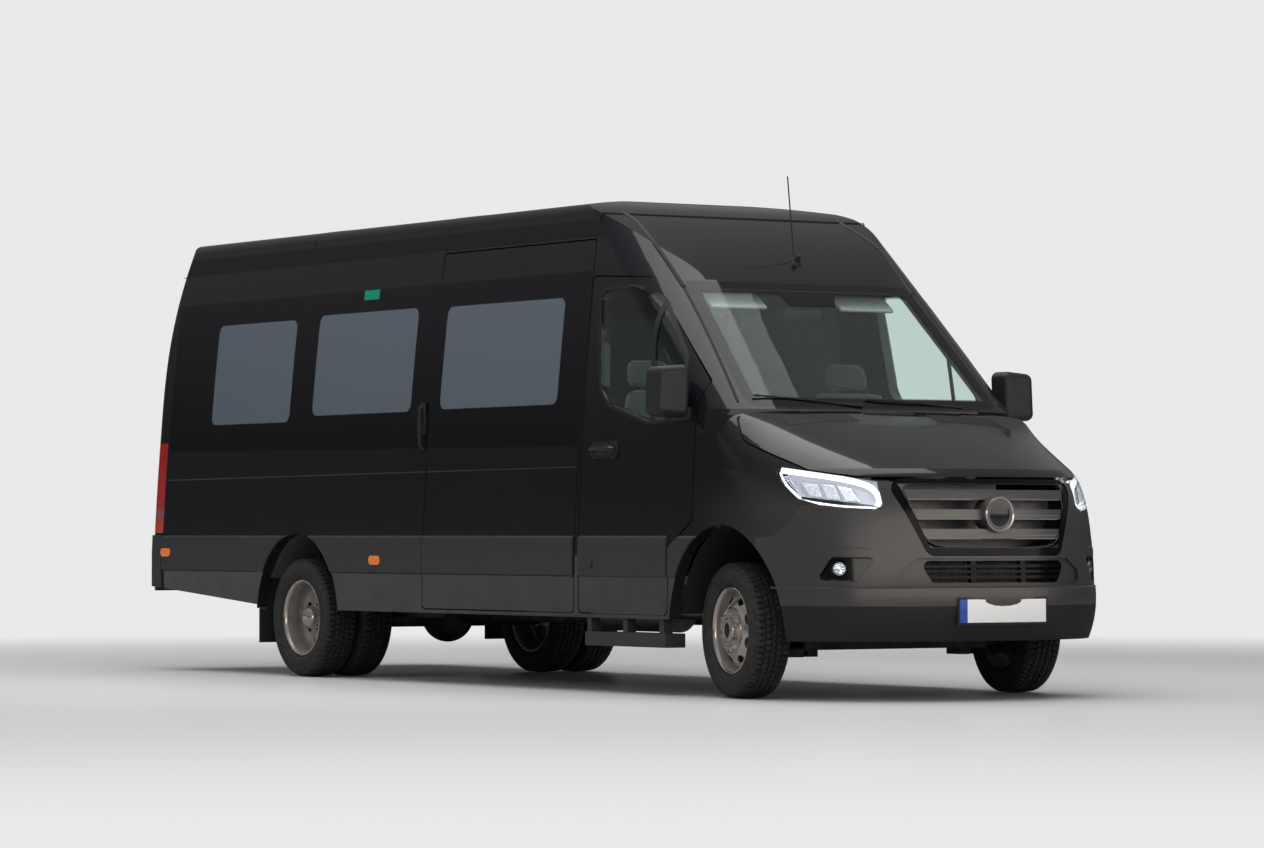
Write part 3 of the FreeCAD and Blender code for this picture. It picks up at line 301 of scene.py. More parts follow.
def rubberFinish():
    s = Surface("tyreRubber", colour=(0.022, 0.022, 0.022), rough=0.75)
    dust = s.noise(35.0, 6.0, 0.7)
    worn = s.mix(s.step(dust, 0.4, 0.75) * 0.5, (0.017, 0.017, 0.017), (0.065, 0.06, 0.054))
    groove = s.node("Attribute", {"attribute_name": "groove"}, {}, "Fac")  # how deep in the tread
    # painted shade: the base colour turns near black deep in the tread grooves
    s.feed("Base Color", s.mix(groove * (dust * 0.6 + 0.45), worn, (0.004, 0.0035, 0.003)))
    s.feed("Roughness", dust * 0.2 + 0.62)
    s.bump(s.noise(900.0, 3.0), 0.25, 0.0004)
    return s


def lensFinish(name, colour, through=0.9, rough=0.02):
    s = Surface(name, colour=colour, rough=rough, through=through, ior=1.45)
    s.feed("Roughness", s.noise(40.0, 3.0) * 0.04 + rough)
    return s


def screenFinish():
    s = Surface("greenCabGlass", colour=(0.80, 0.90, 0.87), rough=0.01, through=1.0, ior=1.2)
    s.feed("Roughness", s.noise(3.0, 4.0) * 0.02)
    return s


def blackEdged(s, clear):
    # glass where the mask is 1, printed black where it is 0
    black = s.tree.nodes.new("ShaderNodeBsdfPrincipled")
    black.inputs["Base Color"].default_value = (0.004, 0.004, 0.005, 1)
    black.inputs["Roughness"].default_value = 0.03
    blend = s.tree.nodes.new("ShaderNodeMixShader")
    s.tree.links.new(clear.socket, blend.inputs[0])
    s.tree.links.new(black.outputs[0], blend.inputs[1])
    s.tree.links.new(s.shader.outputs[0], blend.inputs[2])
    s.tree.links.new(blend.outputs[0], s.out.inputs[0])
    return s


def windscreenFinish():
    # the same glass with a black printed edge and a tab for the sensors
    s = Surface("windscreenGlass", colour=(0.80, 0.90, 0.87), rough=0.01, through=1.0, ior=1.3)
    x, y, z = s.axes()
    half = 0.722 - (z - 1.48) * 0.129
    sides = s.step(half - y.size(), 0.0, 0.018)
    levels = s.step(z, 1.482, 1.496) * (1 - s.step(z, 2.028, 2.058))
    tab = s.step(0.145 - y.size() + (z - 1.985) * 0.6, 0.0, 0.008) * s.step(z, 1.975, 1.985)
    return blackEdged(s, sides * levels * (1 - tab))


# window openings behind the bonded side glass: x from, x to, z from, z to
clearAreas = [(behind(2.795), behind(1.585), 1.485, 2.042), (behind(4.232), behind(3.112), 1.480, 2.050),
              (behind(5.455), behind(4.500), 1.450, 2.036)]


def paneFinish():
    s = Surface("tintedSideGlass", colour=(0.105, 0.125, 0.150), rough=0.02, through=0.18, ior=1.45)
    x, y, z = s.axes()
    clear = 0.0
    for x0, x1, z0, z1 in clearAreas:
        inside = s.roundBox(x, z, (x0, x1, z0, z1), 0.05)
        clear = inside + clear
    return blackEdged(s, clear)


def rearLampFinish():
    # red lens with an amber band and a white one
    s = Surface("rearLampLens", colour=(0.5, 0.01, 0.01), rough=0.06, through=0.25, ior=1.45, coat=0.5)
    x, y, z = s.axes()
    amber = 1 - s.step(z, 0.888, 0.890)
    white = s.step(z, 0.896, 0.898) * (1 - s.step(z, 0.958, 0.960))
    lines = s.step((z * 2 * math.pi / 0.012).wave(), 0.6, 0.9)
    plain = s.mix(amber, (0.42, 0.012, 0.010), (0.50, 0.055, 0.010))
    plain = s.mix(white, plain, (0.30, 0.07, 0.07))
    s.feed("Base Color", s.mix(lines * 0.5, plain, (0.20, 0.004, 0.004)))
    s.bump((z * 2 * math.pi / 0.012).wave() + (y * 2 * math.pi / 0.009).wave(), 0.25, 0.001)
    return s


def fabricFinish():
    s = Surface("seatFabric", colour=(0.03, 0.032, 0.04), rough=0.85, sheen=0.3)
    x, y, z = s.axes()
    weave = (x * 1300).wave() * (y * 2600).wave() + (z * 2600).wave() * (y * 2600).wave()
    s.feed("Base Color", s.mix(s.noise(60.0, 3.0), (0.02, 0.022, 0.028), (0.055, 0.058, 0.068)))
    s.bump(weave, 0.12, 0.0005)
    return s


def floorCoverFinish():
    s = Surface("cabinFloor", colour=(0.05, 0.05, 0.055), rough=0.7)
    s.feed("Base Color", s.mix(s.noise(120.0, 2.0), (0.03, 0.03, 0.034), (0.09, 0.09, 0.095)))
    s.bump(s.cells(260.0), 0.3, 0.001)
    return s


finishes = {
    "body_paint": paintFinish(), "grey_trim": greyPlasticFinish(), "black_plastic": blackPlasticFinish(),
    "gloss_black": glossPlasticFinish(), "chassis_black": chassisFinish(),
    "engine_metal": metalFinish("engineMetal", (0.42, 0.42, 0.43), 0.45),
    "exhaust_steel": metalFinish("exhaustSteel", (0.36, 0.34, 0.31), 0.4),
    "cast_iron": metalFinish("castIron", (0.14, 0.12, 0.11), 0.6, 0.8),
    "wheel_steel": wheelFinish(),
    "nutSteel": metalFinish("nutSteel", (0.84, 0.80, 0.75), 0.14, 1.0, (0.62, 0.56, 0.49)),
    "lamp_lens": lensFinish("lampLens", (0.96, 0.98, 1.0), 1.0),
    "amber_lens": lensFinish("amberLens", (0.95, 0.25, 0.02), 0.4, 0.08),
    "red_lens": lensFinish("redLens", (0.55, 0.01, 0.01), 0.45, 0.05),
    "clear_glass": screenFinish(), "dark_glass": paneFinish(), "floor_cover": floorCoverFinish(),
    "seat_fabric": fabricFinish(), "tyre": rubberFinish(), "bumper": bumperFinish(),
    "mirrorGlass": metalFinish("mirrorGlass", (0.62, 0.66, 0.68), 0.11, 1.0, (0.55, 0.58, 0.60)),
    "visorCloth": metalFinish("visorCloth", (0.42, 0.42, 0.40), 0.9, 0.0, (0.36, 0.36, 0.34)),
    "greenSign": metalFinish("greenSign", (0.0, 0.22, 0.13), 0.4, 0.0, (0.0, 0.19, 0.11)),
    "darkChrome": metalFinish("darkChrome", (0.30, 0.30, 0.31), 0.18, 1.0, (0.20, 0.19, 0.18)),
}
finishes["grille"] = grilleFinish()
finishes["windscreen"] = windscreenFinish()
finishes["rearLamp"] = rearLampFinish()
nodeFinishes = {"front_bumper": "bumper", "grille": "grille", "windscreen": "windscreen",
                "rear_lamps": "rearLamp"}
print("finishes made")


def dressNodes():
    slots = {part["node"]: part["material_slot"] for part in frame["record"]["subparts"]}
    for name, piece in frame["nodes"].items():
        finish = finishes[nodeFinishes.get(name, slots[name])]
        if not piece.material_slots:
            piece.data.materials.append(finish.material)
        for slot in piece.material_slots:
            slot.material = finish.material


# studio

studio = dict(floorSize=60.0, backdrop=0.82, fadeFrom=4.5, fadeTo=13.0)
skyStops = [(0.0, 0.04), (0.10, 0.05), (0.17, 0.13), (0.26, 0.19), (0.45, 0.13), (0.80, 0.22), (1.0, 0.30)]


def makeStudio():
    bpy.context.scene.view_settings.view_transform = "Standard"
    world = bpy.data.worlds.new("studioWorld")
    bpy.context.scene.world = world
    world.use_nodes = True
    tree = world.node_tree
    tree.nodes.clear()
    out = tree.nodes.new("ShaderNodeOutputWorld")
    path = tree.nodes.new("ShaderNodeLightPath")
    lit = tree.nodes.new("ShaderNodeBackground")
    seen = tree.nodes.new("ShaderNodeBackground")
    blend = tree.nodes.new("ShaderNodeMixShader")
    spot = tree.nodes.new("ShaderNodeTexCoord")  # dark round the horizon, with soft bands of light above
    split = tree.nodes.new("ShaderNodeSeparateXYZ")
    ramp = tree.nodes.new("ShaderNodeValToRGB")
    while len(ramp.color_ramp.elements) < len(skyStops):
        ramp.color_ramp.elements.new(0.5)
    for element, (place, level) in zip(ramp.color_ramp.elements, skyStops):
        element.position = place
        element.color = (level, level, level * 1.04, 1.0)
    tree.links.new(spot.outputs["Generated"], split.inputs[0])
    tree.links.new(split.outputs[2], ramp.inputs[0])
    tree.links.new(ramp.outputs[0], lit.inputs[0])
    seen.inputs[0].default_value = (studio["backdrop"],) * 3 + (1,)
    either = tree.nodes.new("ShaderNodeMath")
    either.operation = "MAXIMUM"
    tree.links.new(path.outputs["Is Camera Ray"], either.inputs[0])
    tree.links.new(path.outputs["Is Transmission Ray"], either.inputs[1])
    tree.links.new(either.outputs[0], blend.inputs[0])
    tree.links.new(lit.outputs[0], blend.inputs[1])
    tree.links.new(seen.outputs[0], blend.inputs[2])
    tree.links.new(blend.outputs[0], out.inputs[0])
    mesh = bpy.data.meshes.new("studioFloor")
    half = studio["floorSize"]
    corners = [(-half, -half, 0), (half, -half, 0), (half, half, 0), (-half, half, 0)]
    mesh.from_pydata(corners, [], [(0, 1, 2, 3)])
    ground = bpy.data.objects.new("studioFloor", mesh)
    bpy.context.scene.collection.objects.link(ground)
    pale = Surface("paleFloor", colour=(0.66, 0.66, 0.67), rough=0.3)
    pale.feed("Roughness", pale.noise(60.0, 1.0) * 0.02 + 0.29)
    path = pale.tree.nodes.new("ShaderNodeLightPath")
    pale.feed("Base Color", pale.mix(Value(pale, path.outputs["Is Glossy Ray"]), (0.66, 0.66, 0.67),
                                     (0.16, 0.16, 0.165)))
    # far off the floor turns into the backdrop, so that no horizon line shows
    x, y, z = pale.axes()
    away = pale.step((x * x + y * y).power(0.5), studio["fadeFrom"], studio["fadeTo"])
    through = Value(pale, path.outputs["Is Transmission Ray"])
    straight = Value(pale, path.outputs["Is Camera Ray"]).most(through)
    far = pale.tree.nodes.new("ShaderNodeEmission")
    far.inputs[0].default_value = (studio["backdrop"],) * 3 + (1,)
    join = pale.tree.nodes.new("ShaderNodeMixShader")
    pale.tree.links.new((away * straight).socket, join.inputs[0])
    pale.tree.links.new(pale.shader.outputs[0], join.inputs[1])
    pale.tree.links.new(far.outputs[0], join.inputs[2])
    pale.tree.links.new(join.outputs[0], pale.out.inputs[0])
    mesh.materials.append(pale.material)
    ground.location.z = -0.001


def softLight(name, place, target, size, power, inGloss=True, tint=(1, 1, 1)):
    data = bpy.data.lights.new(name, "AREA")
    data.shape = "RECTANGLE"
    data.size, data.size_y = size
    data.energy = power
    data.color = tint
    lamp = bpy.data.objects.new(name, data)
    lamp.location = place
    lamp.visible_glossy = inGloss
    lamp.rotation_euler = (Vector(target) - Vector(place)).to_track_quat("-Z", "Y").to_euler()
    bpy.context.scene.collection.objects.link(lamp)


# mesh helpers

def addPiece(name, mesh, body, finish, slot=None, replaces=()):
    # mesh may be a bmesh or finished mesh data, in the frame's own metres
    if isinstance(mesh, bmesh.types.BMesh):
        data = bpy.data.meshes.new(name)
        bmesh.ops.recalc_face_normals(mesh, faces=mesh.faces)
        mesh.to_mesh(data)
        mesh.free()
        mesh = data
    piece = bpy.data.objects.new(name, mesh)
    bpy.context.scene.collection.objects.link(piece)
    mesh.materials.append((finishes[finish] if isinstance(finish, str) else finish).material)
    mesh.shade_smooth()
    mesh.set_sharp_from_angle(angle=math.radians(32))
    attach(piece, body)
    slot or finish
    if replaces:
        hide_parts(*replaces)
    return piece


def newMesh():
    return bmesh.new()


def bridge(mesh, rings, caps=True):
    # quads between equal rings of points
    made = [[mesh.verts.new(p) for p in ring] for ring in rings]
    count = len(made[0])
    for near, far in zip(made, made[1:]):
        for i in range(count):
            j = (i + 1) % count
            mesh.faces.new((near[i], near[j], far[j], far[i]))
    if caps:
        mesh.faces.new(made[0])
        mesh.faces.new(made[-1])
    return made


def lathe(mesh, profile, centre, axis, steps):
    # profile holds (radius, along) pairs, turned round the axis through the centre
    axis = Vector(axis).normalized()
    side = axis.orthogonal().normalized()
    up = axis.cross(side)
    rings = []
    for i in range(steps):
        angle = 2 * math.pi * i / steps
        out = side * math.cos(angle) + up * math.sin(angle)
        rings.append([Vector(centre) + axis * along + out * radius for radius, along in profile])
    made = [[mesh.verts.new(p) for p in ring] for ring in rings]
    for i in range(steps):
        near, far = made[i], made[(i + 1) % steps]
        for k in range(len(profile) - 1):
            corners = [near[k], near[k + 1], far[k + 1], far[k]]
            if profile[k][0] < 1e-6:
                corners = [near[k], near[k + 1], far[k + 1]]
            elif profile[k + 1][0] < 1e-6:
                corners = [near[k], near[k + 1], far[k]]
            mesh.faces.new(corners)
    bmesh.ops.remove_doubles(mesh, verts=mesh.verts, dist=1e-6)


def roundBar(mesh, points, radius, steps=10):
    # a bar along the points, with closed ends
    rings = []
    for i, point in enumerate(points):
        point = Vector(point)
        before = Vector(points[max(i - 1, 0)])
        after = Vector(points[min(i + 1, len(points) - 1)])
        along = (after - before).normalized()
        side = along.cross(Vector((0, 0, 1)))
        if side.length < 1e-3:
            side = Vector((0, 1, 0))
        side.normalize()
        up = side.cross(along)
        size = radius(i / (len(points) - 1)) if callable(radius) else radius
        rings.append([point + (side * math.cos(a) + up * math.sin(a)) * size
                      for a in [2 * math.pi * k / steps for k in range(steps)]])
    bridge(mesh, rings)


def softBlock(mesh, centre, size, turn=None, bevel=0.004, segments=3):
    # a block with rounded edges
    made = bmesh.ops.create_cube(mesh, size=1.0)["verts"]
    grow = Matrix.Diagonal((*size, 1.0))
    where = Matrix.Translation(centre) @ (turn or Matrix.Identity(4)) @ grow
    bmesh.ops.transform(mesh, matrix=where, verts=made)
    edges = list({edge for vert in made for edge in vert.link_edges})
    bmesh.ops.bevel(mesh, geom=edges, offset=bevel, segments=segments, affect="EDGES", profile=0.5)


def mirrorCopy(mesh):
    # the same mesh again on the other side of the vehicle
    made = bmesh.ops.duplicate(mesh, geom=list(mesh.verts) + list(mesh.edges) + list(mesh.faces))["geom"]
    verts = [item for item in made if isinstance(item, bmesh.types.BMVert)]
    for vert in verts:
        vert.co.y = -vert.co.y


# tyres and wheels

tyreForm = dict(radius=0.335, width=0.205, bead=0.204, lugs=66, steps=6, grooveDepth=0.0085,
                grooves=(-0.045, -0.015, 0.015, 0.045), shoulder=0.052)
tyreLines = dict(front=[0.822], rear=[0.880, 0.645])  # how far out the middle of each tyre lies
wheels = {}
for end in ("front", "rear"):
    for sideName, way in (("right", -1), ("left", 1)):
        wheels["%s_wheel_%s" % (end, sideName)] = dict(
            lines=[way * y for y in tyreLines[end]], side=way, steer=end == "front",
            tyre="%s_tyre_%s" % (end, sideName), rim="%s_rim_%s" % (end, sideName))
steerRest = math.radians(-9.0)
kingpinAcross = 0.735


def tyreSection():
    # (across, radius) from bead to bead, with raised rings on the sidewall
    half = tyreForm["width"] / 2
    radius, bead = tyreForm["radius"], tyreForm["bead"]
    wall = [(-half + 0.041, bead), (-half + 0.036, bead + 0.013), (-half + 0.017, bead + 0.019),
            (-half + 0.009, bead + 0.030), (-half + 0.0045, bead + 0.036), (-half + 0.0045, bead + 0.044),
            (-half + 0.002, bead + 0.047), (-half, bead + 0.057), (-half + 0.002, bead + 0.075),
            (-half + 0.0005, bead + 0.078), (-half + 0.0015, bead + 0.090), (-half + 0.006, bead + 0.100),
            (-half + 0.009, bead + 0.106), (-half + 0.008, bead + 0.111), (-half + 0.015, bead + 0.121),
            (-half + 0.026, bead + 0.1275)]
    count = 40
    crown = []
    for i in range(count + 1):
        across = -half + 0.030 + (2 * half - 0.060) * i / count
        drop = 0.0035 * (abs(across) / (half - 0.03)) ** 3
        crown.append((across, radius - drop))
    return wall, crown


def treadDepth(across, angle):
    # how deep the pattern is at a place on the crown
    lug = tyreForm["lugs"] * angle / (2 * math.pi)
    depth = 0.0
    for centre in tyreForm["grooves"]:
        zig = 0.0035 * math.copysign(1, math.sin(2 * math.pi * lug + centre * 90))
        if abs(across - centre - zig) < 0.0042:
            depth = 1.0
    shoulder = abs(across) > tyreForm["shoulder"]
    slot = (lug + (0.5 if across > 0 else 0.0) + abs(across) * 9) % 1.0
    if shoulder and slot < 0.30:
        depth = 1.0
    if not shoulder and slot < 0.17:
        depth = max(depth, 0.7)
    return depth * tyreForm["grooveDepth"]


def buildTyre(mesh, centre, turn):
    wall, crown = tyreSection()
    far = [(-a, r) for a, r in reversed(wall)]
    steps = tyreForm["lugs"] * tyreForm["steps"]
    half = tyreForm["width"] / 2
    groove = mesh.verts.layers.float.get("groove") or mesh.verts.layers.float.new("groove")
    rings, deep = [], []
    for i in range(steps):
        angle = 2 * math.pi * i / steps
        ring, depths = [], []
        for group, section in enumerate((wall, crown, far)):
            for across, radius in section:
                depths.append(0.0)
                if group == 1:
                    depths[-1] = treadDepth(across, angle) / tyreForm["grooveDepth"]
                    radius -= treadDepth(across, angle)
                elif radius > tyreForm["radius"] - 0.018:
                    lug = tyreForm["lugs"] * angle / (2 * math.pi)
                    lug = (lug + (0.5 if across > 0 else 0.0) + 0.6) % 1.0
                    radius -= 0.006 if lug < 0.30 else 0.0
                spot = Vector((radius * math.cos(angle), across, radius * math.sin(angle)))
                ring.append(centre + turn @ spot)
        rings.append(ring)
        deep.append(depths)
    made = [[mesh.verts.new(p) for p in ring] for ring in rings]
    # the depth is also used to paint shade into the grooves
    for ring, depths in zip(made, deep):
        for vert, depth in zip(ring, depths):
            vert[groove] = depth
    count = len(made[0])
    for i in range(steps):
        near, after = made[i], made[(i + 1) % steps]
        for k in range(count):
            j = (k + 1) % count
            mesh.faces.new((near[k], near[j], after[j], after[k]))


def wheelPlaces(wheel):
    # centres and the turn of each tyre of a wheel
    turn = Matrix.Rotation(steerRest if wheel["steer"] else 0.0, 3, "Z")
    axle = frontAxle if wheel["steer"] else rearAxle
    places = []
    for y in wheel["lines"]:
        centre = Vector((axle, y, tyreForm["radius"]))
        if wheel["steer"]:
            pin = Vector((axle, math.copysign(kingpinAcross, y), tyreForm["radius"]))
            centre = pin + turn @ (centre - pin)
        places.append(centre)
    return places, turn


def makeTyres():
    for body, wheel in wheels.items():
        mesh = newMesh()
        places, turn = wheelPlaces(wheel)
        for centre in places:
            buildTyre(mesh, centre, turn)
        addPiece(body + "_treadedTyre", mesh, body, "tyre", replaces=(wheel["tyre"],))


# pressed rims, as (radius, outwards from the middle of the tyre)
rimForm = dict(
    barrel=[(0.204, 0.081), (0.210, 0.0845), (0.2155, 0.082), (0.2165, 0.077), (0.213, 0.0715),
            (0.206, 0.070), (0.2025, 0.065), (0.2025, 0.046), (0.197, 0.036), (0.196, 0.0), (0.1965, -0.055),
            (0.203, -0.066), (0.2155, -0.072), (0.2155, -0.0835), (0.208, -0.082), (0.192, -0.062),
            (0.190, 0.0), (0.190, 0.030), (0.1955, 0.050), (0.197, 0.064), (0.200, 0.074), (0.204, 0.081)],
    proud=[(0.1915, 0.020), (0.190, 0.029), (0.181, 0.037), (0.160, 0.051), (0.140, 0.063), (0.124, 0.071),
           (0.118, 0.0735), (0.062, 0.0735), (0.062, 0.0675), (0.118, 0.0670), (0.138, 0.056), (0.158, 0.044),
           (0.178, 0.030), (0.1915, 0.020)],
    dished=[(0.1925, 0.006), (0.190, -0.006), (0.186, -0.022), (0.176, -0.036), (0.156, -0.047),
            (0.132, -0.051), (0.062, -0.051), (0.062, -0.057), (0.132, -0.057), (0.158, -0.054),
            (0.180, -0.042), (0.192, -0.024), (0.1925, 0.006)],
    frontHub=[(0, 0.094), (0.0635, 0.094), (0.0635, -0.010), (0, -0.010)],
    rearHub=[(0, 0.036), (0.0635, 0.036), (0.0635, -0.275), (0, -0.275)],
    drum=[(0.0635, -0.058), (0.112, -0.060), (0.112, -0.158), (0.0635, -0.160)],
    holes=8, holeRing=0.152, holeSize=(0.030, 0.0165), steps=96, hubSteps=40)


def cutHoles(mesh, centre, out, along, up):
    # oval holes through a disc, cut with a modifier that is applied at once
    data = bpy.data.meshes.new("discBlank")
    bmesh.ops.recalc_face_normals(mesh, faces=mesh.faces)
    mesh.to_mesh(data)
    mesh.free()
    cutter = newMesh()
    wide, high = rimForm["holeSize"]
    for i in range(rimForm["holes"]):
        angle = 2 * math.pi * (i + 0.5) / rimForm["holes"]
        radial = along * math.cos(angle) + up * math.sin(angle)
        tangent = up * math.cos(angle) - along * math.sin(angle)
        spot = centre + radial * rimForm["holeRing"]
        ring = [tangent * (wide * math.cos(a)) + radial * (high * math.sin(a))
                for a in [2 * math.pi * k / 20 for k in range(20)]]
        bridge(cutter, [[spot + p - out * 0.12 for p in ring], [spot + p + out * 0.12 for p in ring]])
    bmesh.ops.recalc_face_normals(cutter, faces=cutter.faces)
    cutData = bpy.data.meshes.new("discCutter")
    cutter.to_mesh(cutData)
    cutter.free()
    disc, tool = bpy.data.objects.new("discBlank", data), bpy.data.objects.new("discCutter", cutData)
    for item in (disc, tool):
        bpy.context.scene.collection.objects.link(item)
    step = disc.modifiers.new("holes", "BOOLEAN")
    step.operation, step.object, step.solver = "DIFFERENCE", tool, "EXACT"
    bpy.context.view_layer.update()
    shaped = bpy.data.meshes.new_from_object(disc.evaluated_get(bpy.context.evaluated_depsgraph_get()))
    result = newMesh()
    result.from_mesh(shaped)
    for item, block in ((disc, data), (tool, cutData)):
        bpy.data.objects.remove(item)
        bpy.data.meshes.remove(block)
    bpy.data.meshes.remove(shaped)
    return result


def hollowShadeShare(radius, depth, steer):
    # painted shade on the barrel, round the holes and at the foot of the hub
    share = 1.0 if 0.185 < radius < 0.2012 and depth < 0.068 else 0.0
    share = max(share, 0.75 - abs(radius - 0.068) / 0.010, 0.4 - abs(radius - 0.186) / 0.02)
    if not steer:
        deep = min(1.0, max(0.0, (0.05 - depth) / 0.05))
        share = max(share, deep * (0.75 if radius > 0.10 else 0.4))
    return max(0.0, min(1.0, share))


def makeRims():
    for body, wheel in wheels.items():
        side = wheel["side"]
        places, turn = wheelPlaces(wheel)
        out, along, up = turn @ Vector((0, side, 0)), turn @ Vector((1, 0, 0)), Vector((0, 0, 1))
        mesh = newMesh()
        for i, centre in enumerate(places):
            disc = newMesh()
            shape = rimForm["proud"] if wheel["steer"] or i == 1 else rimForm["dished"]
            lathe(disc, shape, centre, out, rimForm["steps"])
            disc = cutHoles(disc, centre, out, along, up)
            data = bpy.data.meshes.new("discDone")
            disc.to_mesh(data)
            disc.free()
            mesh.from_mesh(data)
            bpy.data.meshes.remove(data)
            lathe(mesh, rimForm["barrel"], centre, out, rimForm["steps"])
        for shape in (("frontHub",) if wheel["steer"] else ("rearHub", "drum")):
            lathe(mesh, rimForm[shape], places[0], out, rimForm["hubSteps"])
        # painted shade: how dark each point of the rim is painted in its hollows
        soot = mesh.verts.layers.float.new("soot")
        for vert in mesh.verts:
            centre = min(places, key=lambda spot: abs((vert.co - spot).dot(out)))
            away = vert.co - centre
            depth = away.dot(out)
            vert[soot] = hollowShadeShare((away - out * depth).length, depth, wheel["steer"])
        addPiece("rim_" + body, mesh, body, "wheel_steel", replaces=(wheel["rim"],))


# wheel nuts, hubs and the raised rings round them
nutForm = dict(count=6, ring=0.088, radius=0.0150, height=0.024, frontFace=0.0735, rearFace=-0.051)


def makeWheelDetail():
    for body, wheel in wheels.items():
        side = wheel["side"]
        places, turn = wheelPlaces(wheel)
        centre, out = places[0], turn @ Vector((0, side, 0))
        along, up = turn @ Vector((1, 0, 0)), Vector((0, 0, 1))
        face = nutForm["frontFace"] if wheel["steer"] else nutForm["rearFace"]
        mesh, dark = newMesh(), newMesh()
        r, h = nutForm["radius"], nutForm["height"]
        for i in range(nutForm["count"]):
            angle = 2 * math.pi * (i + 0.3) / nutForm["count"]
            spot = centre + out * face + (along * math.cos(angle) + up * math.sin(angle)) * nutForm["ring"]
            lathe(mesh, [(0, h), (r * 0.7, h), (r, h - 0.004), (r, 0.003), (0, 0.003)], spot, out, 6)
            lathe(mesh, [(0, 0.006), (r * 1.25, 0.005), (r * 1.4, -0.003), (0, -0.003)], spot, out, 18)
            lathe(mesh, [(0, h + 0.008), (r * 0.4, h + 0.007), (r * 0.45, h - 0.002), (0, h - 0.002)],
                  spot, out, 12)
        if wheel["steer"]:
            lathe(mesh, [(0.101, face - 0.003), (0.103, face + 0.010), (0.108, face + 0.014),
                         (0.113, face + 0.011), (0.118, face - 0.006), (0.101, face - 0.006),
                         (0.101, face - 0.003)], centre, out, 48)
            lathe(mesh, [(0.036, 0.092), (0.036, 0.101), (0.040, 0.107), (0.053, 0.107), (0.061, 0.101),
                         (0.0645, 0.090), (0.0645, 0.080), (0.036, 0.080), (0.036, 0.092)], centre, out, 40)
            # painted shade: a black disc sunk in the hub's middle stands for the dark inside of its hole
            lathe(dark, [(0, 0.0975), (0.020, 0.0975), (0.036, 0.0965), (0.036, 0.0945), (0, 0.0945)],
                  centre, out, 32)
            addPiece("hubHole_" + body, dark, body, "black_plastic")
        else:
            lathe(mesh, [(0, 0.070), (0.016, 0.0695), (0.034, 0.065), (0.050, 0.056), (0.060, 0.044),
                         (0.0645, 0.030), (0.0645, 0.014), (0, 0.014)], centre, out, 40)
            lathe(mesh, [(0.066, -0.012), (0.074, -0.008), (0.080, -0.014), (0.078, -0.050), (0.064, -0.050),
                         (0.066, -0.012)], centre, out, 40)
            dark.free()
        addPiece("wheelNuts_" + body, mesh, body, "nutSteel", slot="wheel_steel")


# number plate
plateForm = dict(width=0.520, height=0.113, middle=0.437, depth=0.007, band=0.044)


def makePlate():
    x = noseAt(0, plateForm["middle"]) - 0.0005
    mesh = newMesh()
    softBlock(mesh, (x + 0.0015, 0, plateForm["middle"]), (plateForm["depth"], plateForm["width"],
              plateForm["height"]), bevel=0.003)
    frameMesh = newMesh()
    softBlock(frameMesh, (x - 0.003, 0, plateForm["middle"] - 0.003), (0.008, plateForm["width"] + 0.022,
              plateForm["height"] + 0.024), bevel=0.0035)
    addPiece("plateFrame", frameMesh, "body", "black_plastic")
    s = Surface("blankPlate", colour=(0.8, 0.8, 0.8), rough=0.35, coat=0.3)
    edge = plateForm["band"] - plateForm["width"] / 2
    band = s.step(s.axes()[1], edge - 0.0005, edge + 0.0005)
    s.feed("Base Color", s.mix(band, (0.01, 0.06, 0.36), (0.80, 0.80, 0.79)))
    finishes["plate_white"] = s
    addPiece("numberPlate", mesh, "body", "plate_white", slot="grey_trim")


# headlamps

def noseSlice(z):  # tip, shoulder and squareness of the nose at a height, as the bodywork has them
    levels = [(0.290, 0.935, 0.060, 2.7), (0.430, 1.000, 0.100, 2.7), (0.551, 1.000, 0.100, 2.7),
              (0.5515, 0.985, 0.100, 2.7),
              (0.711, 0.975, 0.100, 2.65), (0.945, 0.950, 0.090, 2.45), (1.060, 0.915, 0.050, 2.3),
              (1.127, 0.860, 0.000, 2.15), (1.197, 0.668, -0.012, 2.1), (1.258, 0.495, -0.038, 2.0),
              (1.358, 0.195, -0.075, 1.9), (1.430, -0.020, -0.120, 1.9)]
    for low, high in zip(levels, levels[1:]):
        if z <= high[0]:
            t = max(0.0, (z - low[0]) / (high[0] - low[0]))
            return [low[k] + (high[k] - low[k]) * t for k in (1, 2, 3)]
    return list(levels[-1][1:])


def noseAt(y, z, inset=0.0):  # x of the nose surface
    tip, shoulder, power = noseSlice(z)
    half = sideAt(z) - inset
    share = min(1.0, abs(y) / half) ** (power / 2)
    return frontAxle + shoulder + (tip - shoulder) * math.sqrt(max(0.0, 1 - share * share)) - inset


lampForm = dict(
    back=[(-0.345, 1.122), (-0.245, 0.985), (0.140, 0.938), (0.118, 1.050)], glowWidth=0.026, ticks=11,
    glowPath=[(-0.352, 1.115), (-0.229, 1.099), (-0.096, 1.081), (0.020, 1.058), (0.092, 1.034),
              (0.130, 1.000), (0.144, 0.962), (0.134, 0.941)],
    endPath=[(-0.354, 1.104), (-0.316, 1.046), (-0.256, 0.993), (-0.236, 0.975)],
    lowPath=[(-0.244, 0.974), (-0.150, 0.957), (-0.020, 0.941), (0.132, 0.934)],
    cells=[[(-0.243, 1.055), (-0.160, 1.049), (-0.130, 0.979), (-0.192, 0.986)],
           [(-0.148, 1.049), (-0.078, 1.042), (-0.040, 0.966), (-0.106, 0.973)],
           [(-0.062, 1.036), (0.004, 1.023), (0.052, 0.960), (-0.016, 0.960)]])


